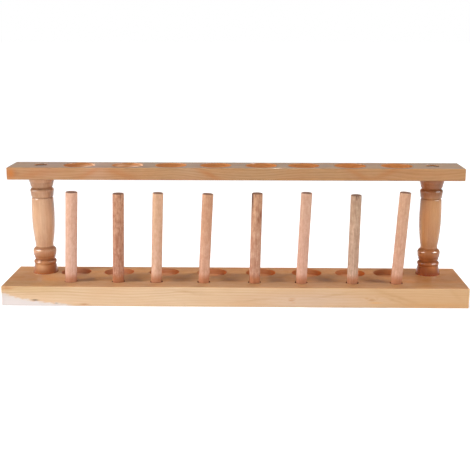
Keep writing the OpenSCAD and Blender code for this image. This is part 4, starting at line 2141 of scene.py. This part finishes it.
def base_finish(top_height: float) -> VarnishedPine:
    """Mixes the base's finish: pale in front, warmer to the right, with pin knots.

    Args:
        top_height: height of the base's top, whose face is tinted darker and warmer.

    Returns:
        The finish.
    """
    return VarnishedPine(
        name="varnished_base_pine",
        early=srgb(232, 201, 166), late=srgb(202, 158, 116), warm=srgb(223, 178, 134),
        flame=srgb(186, 134, 88), core=srgb(196, 142, 100),
        pith=(0.0, 14.0, -52.0), ring_width=1.7, wander=11.0,
        ring_share=0.5, fibre_share=0.2, cloud_share=0.5, coat=0.5, coat_blur=0.45,
        far_tint=srgb(207, 155, 96), far_share=0.5, inner=srgb(177, 84, 14), inner_share=1.0,
        # row_shade is painted warm shade under the rail, behind the pegs.
        top_tint=srgb(209, 187, 163), row_shade=(1.11, 0.96, 0.74), top_height=top_height,
        knots=(BASE_PIN_KNOT, KnotSpot(94.5, -27.0, 5.7, 1.7, 2.0)),
        flames=(
            FlameStreak(67.0, 8.6, 0.18, 12.0, 0.7, 0.35),
            FlameStreak(110.5, 8.1, -0.31, 13.0, 1.3, 0.45),
            FlameStreak(109.0, 5.6, -0.37, 8.0, 0.7, 0.4),
            FlameStreak(151.0, 9.4, -0.8, 4.0, 1.6, 0.25),
            FlameStreak(-30.0, 10.5, -0.1, 14.0, 0.8, 0.3),
            FlameStreak(14.0, 5.0, 0.12, 12.0, 0.7, 0.3),
        ),
        marks=(
            Mark(-148.0, -27.0, 13.0, 5.5, (0.13, 0.3, 1.0), (0.88, 0.82, 0.68), 1.0, Blend.MULTIPLIED),
            Mark(55.0, -27.0, 5.0, 6.0, (0.15, 0.3, 1.0), (1.0, 1.09, 1.36), 1.0, Blend.MULTIPLIED),
            # Paler, cooler tint at each end of the base's top: painted light.
            Mark(-138.0, 8.0, 15.8, 18.0, (0.5, 1.0, 1.0), (1.02, 1.12, 1.42), 1.0, Blend.MULTIPLIED),
            Mark(150.0, 8.0, 15.8, 18.0, (0.8, 1.0, 1.0), (1.03, 1.1, 1.33), 1.0, Blend.MULTIPLIED),
            Mark(137.0, -27.0, 2.0, 1.6, (0.06, 0.3, 1.0), srgb(214, 150, 84), 0.35),
            Mark(-156.5, -27.0, 12.6, 0.9, (0.22, 0.3, 1.0), srgb(198, 122, 60), 0.6),
            BASE_NICK,
            Mark(-122.6, -27.0, 2.0, 0.4, (0.4, 0.3, 1.0), srgb(150, 140, 140), 0.7),
            Mark(-103.5, -27.0, 1.4, 0.7, (0.24, 0.3, 1.0), srgb(190, 124, 76), 0.6),
            Mark(39.6, -27.0, 6.3, 0.35, (0.22, 0.3, 1.0), srgb(214, 150, 100), 0.5),
            Mark(38.8, -27.0, 4.8, 0.35, (0.22, 0.3, 1.0), srgb(204, 132, 84), 0.55),
            Mark(40.8, -27.0, 3.4, 0.3, (0.25, 0.3, 1.0), srgb(214, 150, 100), 0.5),
            Mark(91.0, -27.0, 6.8, 0.35, (0.25, 0.3, 1.0), srgb(206, 146, 92), 0.5),
            Mark(93.7, -27.0, 5.4, 0.4, (0.22, 0.3, 1.0), srgb(200, 136, 84), 0.45),
            Mark(97.1, -27.0, 3.6, 0.6, (0.14, 0.3, 1.0), srgb(228, 166, 96), 0.55),
        ),
        pale_corner=PaleCorner(),
    )


def post_finish(side: str) -> VarnishedPine:
    """Mixes a post's finish: the left one is paler than the right one.

    Args:
        side: the post's side.

    Returns:
        The finish.
    """
    if side == "left":
        own = {
            "early": srgb(226, 184, 148), "late": srgb(184, 128, 88), "warm": srgb(206, 152, 108),
            "offset": (0.21, 0.0, 0.0),
            # The amber under the collar is partly painted shade from the rail.
            "amber": AmberAndShade(srgb(158, 80, 18), 0.9, 0.15, (17.0, 38.0)),
            # A pale patch on the front of the foot: painted highlight.
            "marks": (Mark(-139.5, 6.0, 19.6, 2.8, (0.55, 0.4, 0.9), srgb(226, 174, 126), 0.72),),
        }
    else:
        own = {
            "early": srgb(204, 150, 99), "late": srgb(166, 106, 62), "warm": srgb(194, 130, 80),
            "offset": (0.63, 0.02, 0.01),
            # The amber under the collar is partly painted shade from the rail.
            "amber": AmberAndShade(srgb(142, 62, 8), 0.95, 0.6, (17.0, 44.0)),
            # A paler patch on the front of the foot: painted highlight.
            "marks": (Mark(142.0, 5.5, 20.2, 2.6, (0.55, 0.4, 0.9), srgb(198, 130, 76), 0.6),),
        }
    return VarnishedPine(
        name=f"varnished_{side}_post_pine",
        axis=GrainAxis.ALONG_Z, pith=(0.0, 60.0, 30.0), ring_width=2.9, wander=5.0,
        ring_share=0.22, fibre_share=0.32, cloud_share=0.6, coat=1.0, coat_blur=0.05,
        **own,
    )


# Each dowel's lower colour, mostly paler and greyer than its upper one, is painted sheen.
DOWEL_LOOKS = {
    1: DowelLook(srgb(228, 182, 156), srgb(230, 188, 168), srgb(196, 140, 112), 0.35, 0.15),
    2: DowelLook(
        srgb(214, 164, 130), srgb(206, 156, 130), srgb(158, 98, 70), 0.6, 0.6,
        splits=(Split(-60.0, 5 * MM, 0.25 * MM, 0.3 * MM),),
    ),
    3: DowelLook(srgb(224, 180, 146), srgb(228, 184, 158), srgb(196, 144, 110), 0.35, 0.2),
    4: DowelLook(srgb(212, 162, 128), srgb(222, 174, 148), srgb(184, 126, 92), 0.4, 0.2),
    5: DowelLook(
        srgb(214, 170, 134), srgb(222, 178, 152), srgb(168, 108, 78), 0.6, 0.4,
        marks=(
            Mark(17.9, -15.2, 61.8, 1.1, (1.0, 1.0, 0.35), srgb(128, 66, 44), 0.9),
            Mark(16.6, -16.0, 58.6, 0.9, (1.0, 1.0, 0.35), srgb(140, 78, 50), 0.7),
            Mark(18.5, -13.4, 53.5, 0.8, (1.0, 0.6, 0.12), srgb(128, 76, 52), 0.75),
            Mark(11.8, -13.7, 74.8, 1.1, (1.0, 0.7, 0.14), srgb(66, 42, 28), 0.95),
        ),
        splits=(
            Split(-154.0, 13 * MM, 0.95 * MM, 0.5 * MM),
            Split(-105.0, 2.5 * MM, 0.3 * MM, 0.35 * MM),
        ),
    ),
    6: DowelLook(
        srgb(216, 174, 148), srgb(226, 180, 158), srgb(192, 138, 112), 0.35, 0.15,
        marks=(Mark(40.2, -12.6, 52.0, 1.2, (1.0, 0.5, 0.12), srgb(138, 86, 60), 0.6),),
    ),
    7: DowelLook(
        srgb(206, 172, 144), srgb(220, 184, 160), srgb(160, 122, 96), 0.6, 0.25,
        splits=(
            Split(-90.0, 3.5 * MM, 0.5 * MM, 0.5 * MM),
            Split(-70.0, 2 * MM, 0.3 * MM, 0.3 * MM),
        ),
    ),
    8: DowelLook(srgb(216, 172, 140), srgb(224, 176, 150), srgb(190, 136, 106), 0.4, 0.2),
}


def drying_peg(number: int) -> DryingPeg:
    """Sets up one peg with its own look.

    Args:
        number: the peg's number, from the left.

    Returns:
        The peg, not built yet.
    """
    look = DOWEL_LOOKS[number]
    axis = mount(f"drying_peg_{number}_shaft")["axis"]
    lean = math.atan2(axis[0], axis[2])
    return DryingPeg(BareDowel(f"bare_dowel_{number}", look, lean, number), number, look.splits)


@dataclass
class Landmark:
    """A corner or mark of the rack that an image point names, and the piece that has it."""

    piece: Piece
    place: Vector


def landmarks(base: Piece, rail: Piece, pegs: list[Piece]) -> dict[str, Landmark]:
    """Lists the places that the image points name.

    Args:
        base, rail: the two boards.
        pegs: the drying pegs, from the left.

    Returns:
        A landmark for each image point with both coordinates.
    """
    found = {}
    for board, name, (low, high) in (
        (base, "base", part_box("base_board")), (rail, "rail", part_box("top_rail")),
    ):
        for depth, y in (("front", low.y), ("back", high.y)):
            for side, x in (("left", low.x), ("right", high.x)):
                found[f"{name}_{depth}_top_{side}"] = Landmark(board, Vector((x, y, high.z)))
    low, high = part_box("base_board")
    found["base_front_bottom_right"] = Landmark(base, Vector((high.x, low.y, low.z)))
    for name, number in (("first_peg_top", 1), ("last_peg_top", PLACES)):
        low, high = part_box(f"drying_peg_{number}")
        shaft = mount(f"drying_peg_{number}_shaft")
        x, _, z = shaft["pos_m"]
        x += (high.z - z) * shaft["axis"][0] / shaft["axis"][2]
        found[name] = Landmark(pegs[number - 1], Vector((x, (low.y + high.y) / 2, high.z)))
    for name, piece, spot in (
        ("rail_end_knot", rail, RAIL_END_KNOT), ("base_pin_knot", base, BASE_PIN_KNOT),
        ("base_nick", base, BASE_NICK),
    ):
        found[name] = Landmark(piece, Vector((spot.x, spot.y, spot.z)) * MM)
    return {name: found[name] for name in IMAGE_POINTS if name in found}


def finished_points(piece: Piece) -> Array:
    """Reads the vertices of a piece as finished.

    Args:
        piece: the piece.

    Returns:
        Rows of x, y and z in the rack's frame.
    """
    solid = piece.evaluated_get(bpy.context.evaluated_depsgraph_get())
    points = np.empty(len(solid.data.vertices) * 3)
    solid.data.vertices.foreach_get("co", points)
    return points.reshape(-1, 3)


def write_points(camera: StudioCamera, marks: dict[str, Landmark], pieces: list[Piece]) -> None:
    """Args:
        camera: the camera, set up.
        marks: the landmarks.
        pieces: every piece of the rack, for its edges.
    """
    shown = np.concatenate([camera.shown(finished_points(piece)) for piece in pieces])
    for name, mark in marks.items():
        points = finished_points(mark.piece)
        nearest = points[np.argmin(np.linalg.norm(points - np.array(mark.place), axis=1))]


def main() -> None:
    """Builds and dresses the rack's pieces in order, and reports each, in a white studio."""
    logging.basicConfig(level=logging.INFO, format="%(name)s: %(message)s")
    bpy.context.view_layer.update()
    camera = StudioCamera()
    camera.build()
    Studio().build()

    base = BaseBoard(base_finish(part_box("base_board")[1].z)).finished()
    rail = TopRail(rail_finish(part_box("top_rail")[1].z)).finished()
    posts = [
        TurnedPost(post_finish("left"), "left").finished(),
        TurnedPost(post_finish("right"), "right", thinner=0.3 * MM).finished(),
    ]
    pegs = [drying_peg(number).finished() for number in range(1, PLACES + 1)]
    screws = [
        WoodScrew(ScrewSteel(), f"{where}_screw_{side}", points_up).finished()
        for where, points_up in (("rail", False), ("base", True))
        for side in SIDES
    ]
    pieces = [base, rail, *posts, *pegs, *screws]
    for piece in pieces:
        log.info("%s: %d faces", piece.name, len(piece.data.polygons))

    write_points(camera, landmarks(base, rail, pegs), pieces)


if __name__ == "__main__":
    main()
